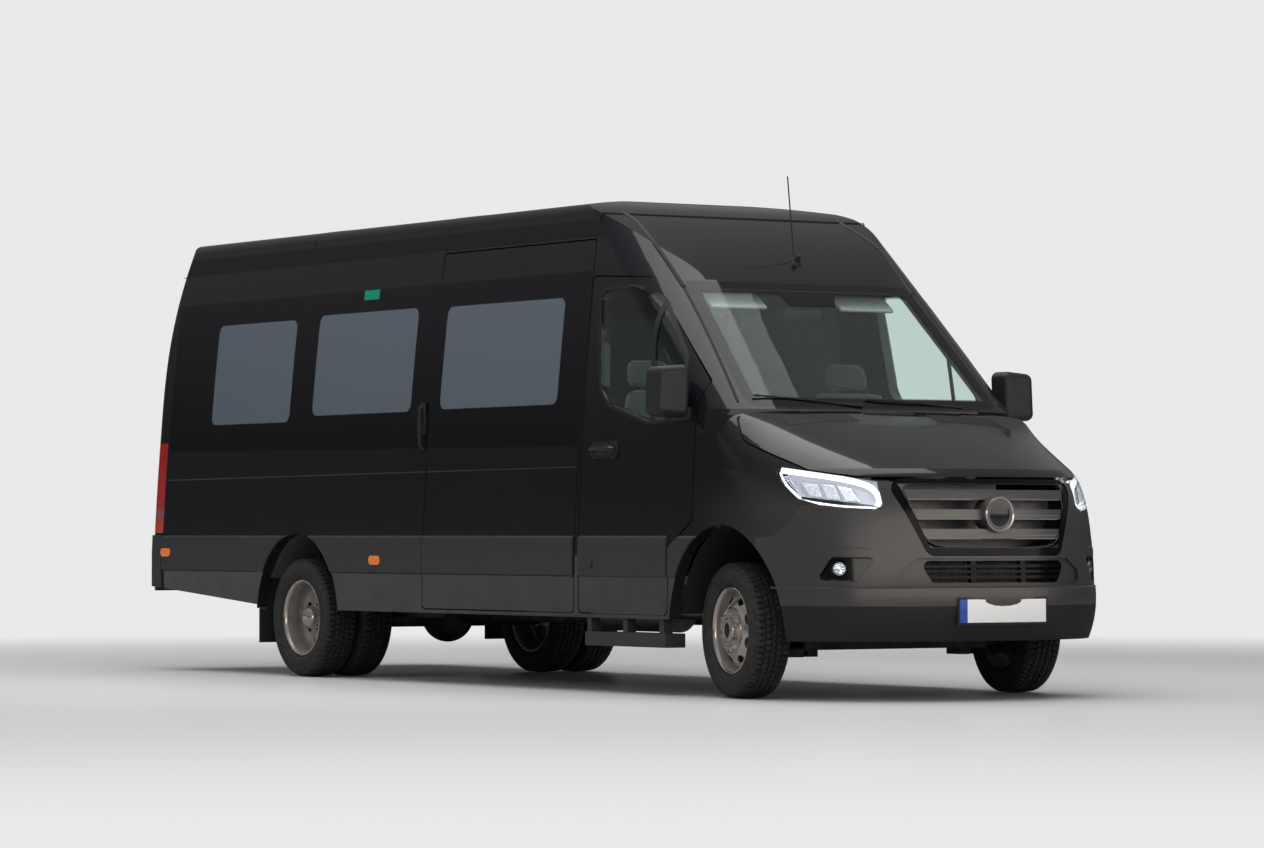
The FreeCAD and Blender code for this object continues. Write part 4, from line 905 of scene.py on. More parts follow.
def cornerPoint(u, z, inset):  # a point of the right nose corner, seen square on from 45 degrees
    low, high = 0.05, 1.4
    for step in range(40):
        mid = (low + high) / 2
        x = frontAxle + u / math.sqrt(2) + mid / math.sqrt(2)
        y = u / math.sqrt(2) - mid / math.sqrt(2)
        if abs(y) < sideAt(z) - inset and x < noseAt(y, z, inset):
            low = mid
        else:
            high = mid
    return Vector((x, y, z))


def cornerPatch(mesh, outline, inset, thick, steps=7):
    # a solid slab that follows the nose corner inside a four-cornered outline of (u, z)
    a, b, c, d = outline
    for depth in (0.0, thick):
        grid = []
        for i in range(steps + 1):
            s1 = i / steps
            row = []
            for k in range(steps + 1):
                s2 = k / steps
                u = (a[0] * (1 - s1) + b[0] * s1) * (1 - s2) + (d[0] * (1 - s1) + c[0] * s1) * s2
                z = (a[1] * (1 - s1) + b[1] * s1) * (1 - s2) + (d[1] * (1 - s1) + c[1] * s1) * s2
                row.append(mesh.verts.new(cornerPoint(u, z, inset + depth)))
            grid.append(row)
        for i in range(steps):
            for k in range(steps):
                mesh.faces.new((grid[i][k], grid[i + 1][k], grid[i + 1][k + 1], grid[i][k + 1]))
        if depth == 0.0:
            front = grid
    rim = [(i, 0) for i in range(steps + 1)] + [(steps, k) for k in range(1, steps + 1)]
    rim += [(i, steps) for i in range(steps - 1, -1, -1)] + [(0, k) for k in range(steps - 1, 0, -1)]
    for (i, k), (m, n) in zip(rim, rim[1:] + rim[:1]):
        mesh.faces.new((front[i][k], front[m][n], grid[m][n], grid[i][k]))


def smoothPath(points, steps=6):
    # a soft curve through the points
    spots = [Vector(p) for p in points]
    path = []
    for i in range(len(spots) - 1):
        a, b, c, d = spots[max(i - 1, 0)], spots[i], spots[i + 1], spots[min(i + 2, len(spots) - 1)]
        for k in range(steps):
            t = k / steps
            path.append((b * 2 + (c - a) * t + (a * 2 - b * 5 + c * 4 - d) * t * t
                         + (b * 3 - a - c * 3 + d) * t * t * t) * 0.5)
    return path + [spots[-1]]


def cornerBand(mesh, points, width, inset, thick):
    # a solid band along a path of (u, z) on the right nose corner
    path = smoothPath(points)
    rings = []
    for i, here in enumerate(path):
        along = (path[min(i + 1, len(path) - 1)] - path[max(i - 1, 0)]).normalized()
        out = Vector((-along.y, along.x)) * width / 2
        near, far = here + out, here - out
        rings.append([cornerPoint(near.x, near.y, inset), cornerPoint(far.x, far.y, inset),
                      cornerPoint(far.x, far.y, inset + thick), cornerPoint(near.x, near.y, inset + thick)])
    bridge(mesh, rings)


def shrinkCell(cell, share):
    middle = sum((Vector(p) for p in cell), Vector((0, 0))) / len(cell)
    return [tuple(middle + (Vector(p) - middle) * share) for p in cell]


def makeHeadlamps():
    glow = Surface("lampWhite", colour=(0.9, 0.93, 0.96), rough=0.3, glow=0.85, glowColour=(0.93, 0.96, 1.0))
    soft = Surface("lampCrystal", colour=(0.75, 0.78, 0.84), rough=0.15, metal=0.5, glow=0.28,
                   glowColour=(0.86, 0.90, 1.0))
    facets = soft.step(soft.cells(130.0), 0.2, 0.7)
    soft.feed("Base Color", soft.mix(facets, (0.85, 0.87, 0.92), (0.40, 0.42, 0.48)))
    chrome = Surface("lampReflector", colour=(0.75, 0.77, 0.8), rough=0.12, metal=1.0)
    chrome.feed("Roughness", chrome.noise(60.0, 3.0) * 0.15 + 0.08)
    dark = Surface("lampHousing", colour=(0.50, 0.51, 0.56), rough=0.3, metal=0.3, glow=0.12,
                   glowColour=(0.8, 0.85, 1.0))
    dark.feed("Roughness", dark.noise(50.0, 2.0) * 0.2 + 0.2)
    finishes.update(lampWhite=glow, lampChrome=chrome, lampDark=dark, lampCrystal=soft)
    back, white, bright, crystal = newMesh(), newMesh(), newMesh(), newMesh()
    cornerPatch(back, lampForm["back"], 0.062, 0.006, 10)
    cornerBand(white, lampForm["glowPath"], lampForm["glowWidth"], 0.014, 0.012)
    cornerBand(white, lampForm["endPath"], 0.010, 0.014, 0.010)
    cornerBand(white, lampForm["lowPath"], 0.009, 0.014, 0.010)
    for i in range(lampForm["ticks"]):  # short ribs down the outer end
        t = (i + 0.5) / lampForm["ticks"]
        u, z = -0.338 + 0.098 * t, 1.085 - 0.100 * t
        rib = [(u, z + 0.003), (u + 0.024, z + 0.006), (u + 0.025, z + 0.001), (u + 0.001, z - 0.002)]
        cornerPatch(crystal, rib, 0.020, 0.008, 2)
    for cell in lampForm["cells"]:
        cornerPatch(bright, cell, 0.036, 0.024, 5)
        cornerPatch(crystal, shrinkCell(cell, 0.84), 0.026, 0.014, 5)
    for name, mesh, finish in (("lampBack", back, "lampDark"), ("lampStrips", white, "lampWhite"),
                               ("lampBlocks", bright, "lampChrome"), ("lampCrystals", crystal, "lampCrystal")):
        mirrorCopy(mesh)
        addPiece(name, mesh, "body", finish, slot="lamp_lens")


# fog lamps in their cups, and the lines of the bumper
fogForm = dict(cup=[(-0.070, 0.692), (0.134, 0.690), (0.044, 0.585), (-0.140, 0.594)], place=(-0.040, 0.642),
               radius=0.031, turn=-28.0)


def makeFogLamps():
    cup, dish, lens = newMesh(), newMesh(), newMesh()
    cornerPatch(cup, fogForm["cup"], 0.029, 0.003, 10)
    centre = cornerPoint(*fogForm["place"], 0.016)
    angle = math.radians(fogForm["turn"])
    axis = Vector((math.cos(angle), math.sin(angle), 0))
    r = fogForm["radius"]
    lathe(cup, [(r, 0.002), (r + 0.002, 0.004), (r + 0.007, 0.001), (r + 0.013, -0.010), (r + 0.010, -0.018),
                (r, -0.018), (r, 0.002)], centre, axis, 40)
    lathe(dish, [(0, -0.014), (r * 0.3, -0.0135), (r * 0.62, -0.010), (r * 0.88, -0.004), (r, 0.001),
                 (r, -0.016), (0, -0.018)], centre, axis, 40)
    lathe(dish, [(0, -0.002), (r * 0.24, -0.003), (r * 0.28, -0.008), (r * 0.28, -0.0145), (0, -0.0145)],
          centre, axis, 24)
    for i in range(8):
        turn = 2 * math.pi * i / 8
        side = Vector((-axis.y, axis.x, 0)) * math.cos(turn) + Vector((0, 0, 1)) * math.sin(turn)
        lathe(dish, [(0, -0.004), (0.0045, -0.0055), (0.0055, -0.012), (0, -0.013)], centre + side * r * 0.62,
              axis, 10)
    lathe(lens, [(0, 0.006), (r * 0.5, 0.0052), (r * 0.9, 0.0025), (r, 0.0005), (r, -0.001),
                 (r * 0.9, 0.0008), (r * 0.5, 0.0035), (0, 0.0042)], centre, axis, 40)
    for name, mesh, finish, slot in (("fogCups", cup, "gloss_black", "gloss_black"),
                                     ("fogReflectors", dish, "lampChrome", "lamp_lens"),
                                     ("fogLenses", lens, "lamp_lens", "lamp_lens")):
        mirrorCopy(mesh)
        addPiece(name, mesh, "body", finish, slot=slot)


bumperForm = dict(brow=[(-0.250, 0.585), (-0.225, 0.640), (-0.160, 0.705), (-0.085, 0.737), (0.010, 0.745),
                        (0.160, 0.733)],
                  towCover=(-0.508, -0.440, 0.500, 0.546), ledge=dict(half=0.955, level=0.5495, radius=0.0052),
                  line=dict(half=0.93, level=0.513, rise=0.010, radius=0.0022))
netForm = dict(rows=9, low=0.584, pitch=0.0112, radius=0.0019, columns=12, across=0.0345, reach=0.36)


def makeBumperDetail():
    paint, dark = newMesh(), newMesh()
    brow = [cornerPoint(p.x, p.y, 0.002) for p in smoothPath(bumperForm["brow"], 5)]
    roundBar(paint, brow, lambda t: 0.0065 * math.sin(math.pi * min(1, max(0.04, t * 0.94 + 0.03))) ** 0.5, 8)
    mirrorCopy(paint)
    form = bumperForm["ledge"]
    ledge = []
    for i in range(81):
        y = -form["half"] + 2 * form["half"] * i / 80
        ledge.append((noseAt(y, form["level"] - 0.0015) - 0.0045, y, form["level"]))
    roundBar(paint, ledge, form["radius"], 8)
    addPiece("bumperBrows", paint, "body", "bumper", slot="body_paint")
    form = bumperForm["line"]
    line = []
    for i in range(61):
        y = -form["half"] + 2 * form["half"] * i / 60
        z = form["level"] + form["rise"] * (abs(y) / form["half"]) ** 2
        line.append((noseAt(y, z) - 0.0006, y, z))
    roundBar(dark, line, form["radius"], 6)
    y0, y1, z0, z1 = bumperForm["towCover"]
    cover = roundedPath([(y0, z0), (y0 - 0.006, z1), (y1 - 0.006, z1), (y1, z0)], 0.006, 3)
    sealLoop(dark, cover, 0.0022, 0.0012, lambda y, z, lift: Vector((noseAt(y, z) + lift - 0.0006, y, z)))
    addPiece("bumperLines", dark, "body", "black_plastic")
    net = newMesh()
    for i in range(netForm["rows"]):
        z = netForm["low"] + netForm["pitch"] * i
        half = 0.375 + (z - 0.573) * 0.58
        for y0, y1 in ((-half, -0.168), (-0.132, 0.132), (0.168, half)):
            points = [(noseAt(y, z, 0.052), y, z) for y in [y0 + (y1 - y0) * k / 8 for k in range(9)]]
            roundBar(net, points, netForm["radius"], 5)
    for i in range(-netForm["columns"], netForm["columns"] + 1):
        y = netForm["across"] * i
        if abs(y) < netForm["reach"]:
            roundBar(net, [(noseAt(y, z, 0.054), y, z) for z in (0.580, 0.625, 0.675)], 0.0018, 5)
    addPiece("lowerGrilleNet", net, "body", "black_plastic", slot="gloss_black")


# lines that follow the picture

pictureSize = (1264, 848)


def onPicture(spots, *names):
    # points of the named nodes that the camera sees at places of the picture
    camera = bpy.context.scene.camera
    start = camera.matrix_world.translation
    wide, high = pictureSize
    pixel = camera.data.sensor_width / wide
    found = []
    for across, down in spots:
        local = Vector(((across - wide / 2) * pixel, (high / 2 - down) * pixel, -camera.data.lens))
        aim = (camera.matrix_world.to_3x3() @ local).normalized()
        best = None
        for name in names:
            hit, place, normal = frame["nodes"][name].ray_cast(start, aim)[:3]
            if hit and (best is None or (place - start).length < (best[0] - start).length):
                best = (place, normal)
        if best:
            found.append(best)
    return found


def between(spots, steps=4):
    return [(p.x, p.y) for p in smoothPath(spots, steps)]


pictureLines = dict(
    roofMoulding=[(622, 212.5), (636, 221), (652, 240), (668, 263), (683.8, 287)],
    pillarMoulding=[(683.8, 287), (700, 318), (720, 360), (738, 402)],
    header=[(679, 288.4), (800, 291.5), (921.4, 295.3)])


def makePictureLines():
    shell = ("roof_cap", "cab_frame", "windscreen", "roof", "bonnet", "wings", "side_right")
    strips, dark = newMesh(), newMesh()
    for name, radius, sink in (("roofMoulding", 0.015, 0.006), ("pillarMoulding", 0.009, 0.004)):
        spots = onPicture(between(pictureLines[name]), *shell)
        roundBar(strips, [p - n * sink for p, n in spots], radius, 10)
    mirrorCopy(strips)
    addPiece("roofMouldings", strips, "body", "black_plastic")
    spots = onPicture(between(pictureLines["header"], 8), *shell)
    roundBar(dark, [p - n * 0.001 for p, n in spots], 0.0024, 6)
    addPiece("headerSeam", dark, "body", "darkChrome", slot="black_plastic")


antennaForm = dict(foot=(1.745, 0.080, 2.221), wide=0.027, narrow=0.019, sink=0.004, reach=0.006)


def makeAntennaFoot():
    # a rubber pad between the aerial and the roof under it
    start = Vector(antennaForm["foot"])
    spot, normal = frame["nodes"]["roof_cap"].closest_point_on_mesh(start)[1:3]
    high = (start - spot).dot(normal) + antennaForm["reach"]
    wide, narrow, sink = antennaForm["wide"], antennaForm["narrow"], antennaForm["sink"]
    mesh = newMesh()
    lathe(mesh, [(0, high), (narrow, high - 0.002), (narrow + 0.003, high * 0.5), (wide - 0.002, 0.003),
                 (wide, 0.001), (wide, -sink), (0, -sink)], spot, normal, 32)
    addPiece("antennaFoot", mesh, "body", "black_plastic")


# wipers

def screenAt(z):  # x of the windscreen's middle line
    return frontAxle - 0.020 - (z - 1.430) * 0.715 / 0.666


wiperForm = dict(lift=0.012, blade=0.0055, arm=0.008)
wiperRuns = [((-0.10, 1.452), (-0.40, 1.475), (-0.72, 1.500)), ((0.52, 1.452), (0.25, 1.470), (-0.05, 1.488))]


def makeWipers():
    mesh = newMesh()
    for run in wiperRuns:
        points = [Vector((screenAt(z) + wiperForm["lift"] - 0.05 * max(0, abs(y) - 0.55), y, z))
                  for y, z in run]
        roundBar(mesh, [points[0] + Vector((-0.012, 0, -0.012)), points[0], points[1]],
                 lambda t: wiperForm["arm"] * (1 - 0.4 * t))
        start = points[0].lerp(points[2], 0.18)
        roundBar(mesh, [start, points[1] + Vector((0.004, 0, 0.004)), points[2]], wiperForm["blade"], 6)
    addPiece("wipers", mesh, "body", "black_plastic")


# flat bands and rounded outlines

def sealLoop(mesh, points, width, depth, place):
    # a flat band round an outline of (a, z), placed on the body by the given function
    count = len(points)
    middle = [sum(p[k] for p in points) / count for k in (0, 1)]
    rings = [[], [], [], []]
    for i, (a, z) in enumerate(points):
        before, after = points[i - 1], points[(i + 1) % count]
        along = Vector((after[0] - before[0], after[1] - before[1])).normalized()
        out = Vector((along.y, -along.x))
        if out.dot(Vector((a - middle[0], z - middle[1]))) < 0:
            out = -out
        for ring, (grow, lift) in zip(rings, ((0, 0), (0, depth), (width, depth), (width, 0))):
            ring.append(place(a + out.x * grow, z + out.y * grow, lift))
    bridge(mesh, rings + [rings[0]], caps=False)
    bmesh.ops.remove_doubles(mesh, verts=mesh.verts, dist=1e-6)


def roundedPath(points, radius, steps=6):
    # an outline with its corners turned into short curves
    path = []
    count = len(points)
    for i in range(count):
        here = Vector(points[i])
        before = (Vector(points[i - 1]) - here)
        after = (Vector(points[(i + 1) % count]) - here)
        reach = min(radius, before.length / 2.2, after.length / 2.2)
        first = here + before.normalized() * reach
        last = here + after.normalized() * reach
        for k in range(steps + 1):
            t = k / steps
            path.append(tuple(first * (1 - t) ** 2 + here * 2 * t * (1 - t) + last * t * t))
    return path


# places on the cabin

def bodyHalf(x, z):  # half width of the cabin at a place, narrowing round the windscreen
    half = sideAt(z)
    if z >= 1.430:
        tip, depth = screenAt(z), 0.300
    else:
        tip, depth = frontAxle - 0.020, 0.100 + 0.200 * max(0.0, (z - 1.187) / 0.243)
    share = (x - (tip - depth)) / depth
    if share <= 0:
        return half
    return half * max(0.0, 1 - min(1.0, share) ** 2) ** 0.125


def onSide(side):
    # gives a function that puts (x, z) on the body side, lifted outwards
    def place(x, z, lift):
        return Vector((x, side * (bodyHalf(x, z) + lift), z))
    return place


def pillarLine(z):
    return screenAt(z) - 0.095


doorGlass = [(behind(1.235), 2.060), (behind(0.930), 2.072), (pillarLine(1.990) - 0.025, 2.005),
             (pillarLine(1.690) - 0.045, 1.690), (behind(0.345), 1.400), (behind(0.690), 1.375),
             (behind(1.080), 1.478), (behind(1.165), 1.560)]
sealForm = dict(width=0.016, lift=0.0015, corner=0.05, sink=-0.006, divider=0.013)


def makeDoorSeals():
    for side, name in ((-1, "right"), (1, "left")):
        mesh = newMesh()
        place = onSide(side)
        path = roundedPath(doorGlass, sealForm["corner"])
        sealLoop(mesh, path, sealForm["width"], sealForm["lift"] - sealForm["sink"],
                 lambda x, z, lift: place(x, z, lift + sealForm["sink"]))
        low, high = Vector((behind(0.660), 1.372)), Vector((behind(0.712), 2.018))
        rings = []
        for i in range(13):
            x, z = low.lerp(high, i / 12)
            w = sealForm["divider"]
            rings.append([place(x - w, z, sealForm["sink"]), place(x - w, z, 0.001), place(x + w, z, 0.001),
                          place(x + w, z, sealForm["sink"])])
        bridge(mesh, rings)
        addPiece("doorSeal_" + name, mesh, "door_" + name, "black_plastic")


# mirror glasses, door handles and the other small parts of the sides
mirrorForm = dict(back=0.385, inner=0.992, outer=1.156, low=1.404, split=(1.468, 1.478), high=1.636)
handleForm = dict(ends=(1.188, 0.968), level=1.242, radius=0.0115)
# as (distance behind the front axle, height, lift from the side)
pullForm = dict(path=[(2.975, 1.505, -0.002), (2.974, 1.495, 0.016), (2.969, 1.47, 0.022),
                      (2.957, 1.388, 0.024), (2.945, 1.31, 0.022), (2.940, 1.28, 0.016),
                      (2.939, 1.27, -0.002)],
                radius=0.011, level=1.388, plate=(0.050, 0.006, 0.270))
signForm = (3.743, 3.573, 2.118, 2.172)


def slab(mesh, outline, near, far):
    # a plate with one outline, between two faces
    bridge(mesh, [[near(a, b) for a, b in outline], [far(a, b) for a, b in outline]])


def makeDoorFittings():
    for side, name in ((-1, "right"), (1, "left")):
        glass, rim, grip = newMesh(), newMesh(), newMesh()
        f = mirrorForm
        for low, high in ((f["low"], f["split"][0]), (f["split"][1], f["high"])):
            outline = roundedPath([(f["inner"], low), (f["outer"], low), (f["outer"] - 0.004, high),
                                   (f["inner"] + 0.006, high)], 0.020)
            slab(glass, outline, lambda y, z: Vector((behind(f["back"]) + 0.001, side * y, z)),
                 lambda y, z: Vector((behind(f["back"]) - 0.0025, side * y, z)))
            sealLoop(rim, outline, 0.004, 0.006,
                     lambda y, z, lift: Vector((behind(f["back"]) + 0.001 - lift, side * y, z)))
        addPiece("mirrorGlass_" + name, glass, "door_" + name, "mirrorGlass", slot="clear_glass")
        addPiece("mirrorRim_" + name, rim, "door_" + name, "black_plastic")
        rear, front = handleForm["ends"]
        place = onSide(side)
        z = handleForm["level"]
        points = [(rear, -0.004, 0.0), (rear - 0.008, 0.0, 0.018), (rear - 0.030, 0.003, 0.026),
                  ((rear + front) / 2, 0.005, 0.029), (front + 0.030, 0.003, 0.026),
                  (front + 0.008, 0.0, 0.018), (front, -0.004, 0.0)]
        path = smoothPath([place(behind(d), z + up, lift + 0.006) for d, up, lift in points], 4)
        roundBar(grip, path, handleForm["radius"], 10)
        oval = [(behind((rear + front) / 2) + 0.118 * math.cos(a), z - 0.001 + 0.040 * math.sin(a))
                for a in [2 * math.pi * k / 36 for k in range(36)]]
        sealLoop(grip, oval, 0.0035, 0.014, lambda x, zz, lift: place(x, zz, lift))
        addPiece("doorGrip_" + name, grip, "door_" + name, "gloss_black", slot="grey_trim")
    place = onSide(-1)
    pull = newMesh()
    path = smoothPath([place(behind(d), z, lift) for d, z, lift in pullForm["path"]], 4)
    roundBar(pull, path, pullForm["radius"], 10)
    softBlock(pull, place(behind(2.955), pullForm["level"], 0.0), pullForm["plate"], bevel=0.0028)
    addPiece("slidingDoorPull", pull, "body", "black_plastic")
    sign = newMesh()
    rear, front, low, high = signForm
    outline = roundedPath([(behind(rear), low), (behind(front), low), (behind(front), high),
                           (behind(rear), high)], 0.006, 3)
    slab(sign, outline, lambda x, z: place(x, z, -0.001), lambda x, z: place(x, z, 0.0012))
    addPiece("blankGreenSign", sign, "body", "greenSign", slot="body_paint")


def tailAt(z):  # x of the rear face at a height
    return tailFace + 0.32 * max(0.0, z - 1.7) ** 2


rearEnd = frontAxle - tailFace
# each run: from (distance, height) to (distance, height), with radius, lift and what it stands further out
sideRuns = [
    ("sideSeams", "black_plastic", "black_plastic",
     [(1.345, 2.345, rearEnd - 0.16, 2.345, 0.0028, -0.001, 0.0),
      (1.345, 2.188, rearEnd - 0.20, 2.188, 0.0020, -0.0008, 0.0)]),
    ("sideCreases", "body_paint", "body_paint",
     [(1.350, 1.156, 2.880, 1.148, 0.0042, -0.0012, 0.0),
      (2.900, 1.148, rearEnd - 0.20, 1.130, 0.0042, -0.0012, 0.0)]),
    ("claddingEdges", "darkChrome", "grey_trim",
     [(1.350, 0.5885, 3.80, 0.5885, 0.0022, 0.0, 0.0045),
      (4.86, 0.5885, rearEnd - 0.17, 0.5885, 0.0022, 0.0, 0.0045)])]
rearDoorForm = dict(window=[(0.106, 1.326), (0.704, 1.326), (0.704, 2.064), (0.106, 2.064)], corner=0.054,
                    seal=0.014, depth=0.0075, hinges=(1.00, 1.72), hingeLine=0.8535, lean=0.045,
                    barrel=[(0, -0.045), (0.007, -0.045), (0.0085, -0.043), (0.0085, 0.043), (0.007, 0.045),
                            (0, 0.045)])


def makeSideLines():
    place = onSide(-1)
    for name, finish, slot, runs in sideRuns:
        mesh = newMesh()
        for d0, z0, d1, z1, radius, lift, out in runs:
            spots = [(d0 + (d1 - d0) * i / 20, z0 + (z1 - z0) * i / 20) for i in range(21)]
            roundBar(mesh, [place(behind(d), z, lift) - Vector((0, out, 0)) for d, z in spots], radius, 6)
        mirrorCopy(mesh)
        addPiece(name, mesh, "body", finish, slot=slot)
    form = rearDoorForm
    for side, name in ((-1, "right"), (1, "left")):
        mesh = newMesh()
        outline = roundedPath(form["window"], form["corner"])
        sealLoop(mesh, outline, form["seal"], form["depth"],
                 lambda y, z, lift: Vector((tailAt(z) + 0.006 - lift, side * y, z)))
        addPiece("rearDoorSeal_" + name, mesh, "rear_door_" + name, "black_plastic")
        hinges = newMesh()
        for z in form["hinges"]:  # barrels on the line that the door turns about
            pin = tailFace - 0.012 + form["lean"] * (z - 1.4)
            face = tailAt(z) + 0.004
            middle = Vector(((pin - 0.004 + face) / 2, side * (form["hingeLine"] - 0.0085), z))
            softBlock(hinges, middle, (face - pin + 0.004, 0.014, 0.066), bevel=0.002)
            lathe(hinges, form["barrel"], (pin, side * form["hingeLine"], z), (form["lean"], 0, 1), 14)
        addPiece("rearHinges_" + name, hinges, "rear_door_" + name, "black_plastic")


# seats and the inside of the cab

seatForm = dict(rows=5, first=2.250, pitch=0.780, lines=(0.600, 0.150, -0.600), width=0.430, floor=0.6004,
                padSteps=22, cab=[(1.010, 0.560, 0.500, 1), (1.010, -0.480, 0.800, 2)])


def padShape(mesh, sections, power=3.4):
    # a stuffed form through sections: middle, two half sizes and the directions they lie in
    steps = seatForm["padSteps"]
    rings = []
    for middle, a, b, along, across in sections:
        ring = []
        for k in range(steps):
            c, s = math.cos(2 * math.pi * k / steps), math.sin(2 * math.pi * k / steps)
            ring.append(middle + along * (a * math.copysign(abs(c) ** (2 / power), c))
                        + across * (b * math.copysign(abs(s) ** (2 / power), s)))
        rings.append(ring)
    bridge(mesh, rings)


def buildSeat(cloth, hard, x, y, width, heads):
    base = seatForm["floor"]
    across = Vector((0, 1, 0))
    foot, top = Vector((x + 0.050, y, base + 0.415)), Vector((x - 0.085, y, base + 0.945))
    lean = (top - foot).normalized()
    depth = Vector((lean.z, 0, -lean.x))
    swell = [(0.0, 0.45, 0.80), (0.03, 0.80, 0.94), (0.10, 1.0, 1.0), (0.30, 1.12, 1.0), (0.55, 0.95, 0.98),
             (0.80, 0.85, 0.95), (0.93, 0.75, 0.90), (0.98, 0.55, 0.84), (1.0, 0.25, 0.74)]
    padShape(cloth, [(foot.lerp(top, t), 0.050 * a, (width / 2 - 0.006) * b, depth, across)
                     for t, a, b in swell])
    swell = [(0.0, 0.35, 0.86), (0.03, 0.75, 0.95), (0.12, 1.0, 1.0), (0.5, 0.94, 1.0), (0.85, 1.05, 1.0),
             (0.96, 0.80, 0.95), (1.0, 0.35, 0.86)]
    rear, front = Vector((x + 0.005, y, base + 0.372)), Vector((x + 0.468, y, base + 0.378))
    padShape(cloth, [(rear.lerp(front, t), 0.052 * a, (width / 2 - 0.004) * b, Vector((0, 0, 1)), across)
                     for t, a, b in swell])
    for i in range(heads):
        offset = 0.0 if heads == 1 else (i - 0.5) * width / 2
        low = top + lean * 0.028 + across * offset
        high = top + lean * 0.160 + across * offset
        swell = [(0.0, 0.5, 0.82), (0.08, 0.85, 0.95), (0.3, 1.0, 1.0), (0.7, 0.95, 0.97), (0.92, 0.7, 0.86),
                 (1.0, 0.3, 0.66)]
        padShape(cloth, [(low.lerp(high, t), 0.036 * a, 0.125 * b, depth, across) for t, a, b in swell], 3.0)
        for pin in (-0.05, 0.05):
            roundBar(hard, [low + across * pin - lean * 0.05, low + across * pin + lean * 0.03], 0.005, 8)
    softBlock(hard, (x + 0.225, y, base + 0.306), (0.40, width - 0.05, 0.030), bevel=0.006)
    for dx, gap in ((0.075, 0.04), (0.315, 0.02)):
        for dy in (-1, 1):
            at = y + dy * (width / 2 - 0.070)
            roundBar(hard, [(x + dx, at, base + 0.004), (x + dx + gap, at, base + 0.298)], 0.014, 8)
    for dy in (-1, 1):
        softBlock(hard, (x + 0.215, y + dy * (width / 2 - 0.070), base + 0.011), (0.34, 0.035, 0.014),
                  bevel=0.004)


def makeSeats():
    cloth, hard = newMesh(), newMesh()
    for row in range(seatForm["rows"]):
        x = behind(seatForm["first"] + seatForm["pitch"] * row)
        for y in seatForm["lines"]:
            buildSeat(cloth, hard, x, y, seatForm["width"], 1)
    pads = addPiece("passengerSeatPads", cloth, "body", "seat_fabric", replaces=("passenger_seats",))
    addPiece("passengerSeatFrames", hard, "body", "black_plastic")
    cloth, hard = newMesh(), newMesh()
    for distance, y, width, heads in seatForm["cab"]:
        buildSeat(cloth, hard, behind(distance), y, width, heads)
    pads = addPiece("cabSeatPads", cloth, "body", "seat_fabric", replaces=("cab_seats",))
    addPiece("cabSeatFrames", hard, "body", "black_plastic")


def makeCabInside():
    slope = Matrix.Rotation(math.radians(43.0), 4, "Y")
    pod = newMesh()
    softBlock(pod, (screenAt(2.035) - 0.050, 0, 2.035), (0.10, 0.20, 0.045), slope, 0.014)
    roundBar(pod, [(screenAt(2.0) - 0.060, 0, 2.005), (screenAt(2.0) - 0.085, 0, 1.965)], 0.009, 8)
    softBlock(pod, (screenAt(1.97) - 0.105, 0, 1.945), (0.030, 0.230, 0.062),
              Matrix.Rotation(math.radians(12.0), 4, "Y"), 0.014)
    addPiece("sensorPodAndInnerMirror", pod, "body", "black_plastic")
    visors = newMesh()
    for y in (-0.40, 0.40):
        softBlock(visors, (screenAt(2.02) - 0.100, y, 2.008), (0.150, 0.340, 0.020),
                  Matrix.Rotation(math.radians(36.0), 4, "Y"), 0.009)
    addPiece("sunVisors", visors, "body", "visorCloth", slot="seat_fabric")
    dash, faces = newMesh(), newMesh()
    lean = Matrix.Rotation(math.radians(-20.0), 4, "Y")
    softBlock(dash, (behind(0.335), 0.500, 1.392), (0.150, 0.360, 0.070), lean, 0.018)
    softBlock(dash, (behind(0.395), -0.020, 1.405), (0.030, 0.300, 0.110), lean, 0.010)
    for y in (-0.66, -0.28, 0.22, 0.70):
        lathe(dash, [(0.022, 0.0), (0.040, 0.002), (0.044, -0.010), (0.022, -0.014), (0.022, 0.0)],
              (behind(0.402), y, 1.308), (-0.82, 0, 0.57), 24)
    softBlock(faces, (behind(0.413), -0.020, 1.405), (0.004, 0.270, 0.088), lean, 0.0015)
    addPiece("dashboardHoods", dash, "body", "black_plastic")
    addPiece("dashboardScreen", faces, "body", "gloss_black", slot="black_plastic")


# roof seams and mouldings

def arcThrough(a, b, c, steps):
    # points of the arc from a through b to c, in (y, z)
    ax, ay, bx, by, cx, cy = *a, *b, *c
    d = 2 * (ax * (by - cy) + bx * (cy - ay) + cx * (ay - by))
    ux = ((ax**2 + ay**2) * (by - cy) + (bx**2 + by**2) * (cy - ay) + (cx**2 + cy**2) * (ay - by)) / d
    uy = ((ax**2 + ay**2) * (cx - bx) + (bx**2 + by**2) * (ax - cx) + (cx**2 + cy**2) * (bx - ax)) / d
    radius = math.hypot(ax - ux, ay - uy)
    first, last = math.atan2(ay - uy, ax - ux), math.atan2(cy - uy, cx - ux)
    through = math.atan2(by - uy, bx - ux)
    turn = (last - first) % (2 * math.pi)
    if (through - first) % (2 * math.pi) > turn:
        turn -= 2 * math.pi
    angles = [first + turn * i / steps for i in range(steps + 1)]
    return [(ux + radius * math.cos(angle), uy + radius * math.sin(angle)) for angle in angles]


roofForm = dict(top=2.590, gutter=2.345, seams=(1.3365, 2.889, 4.39), seamWidth=0.005, seamLift=0.0012,
                capEnd=1.949, capRadius=1.780)


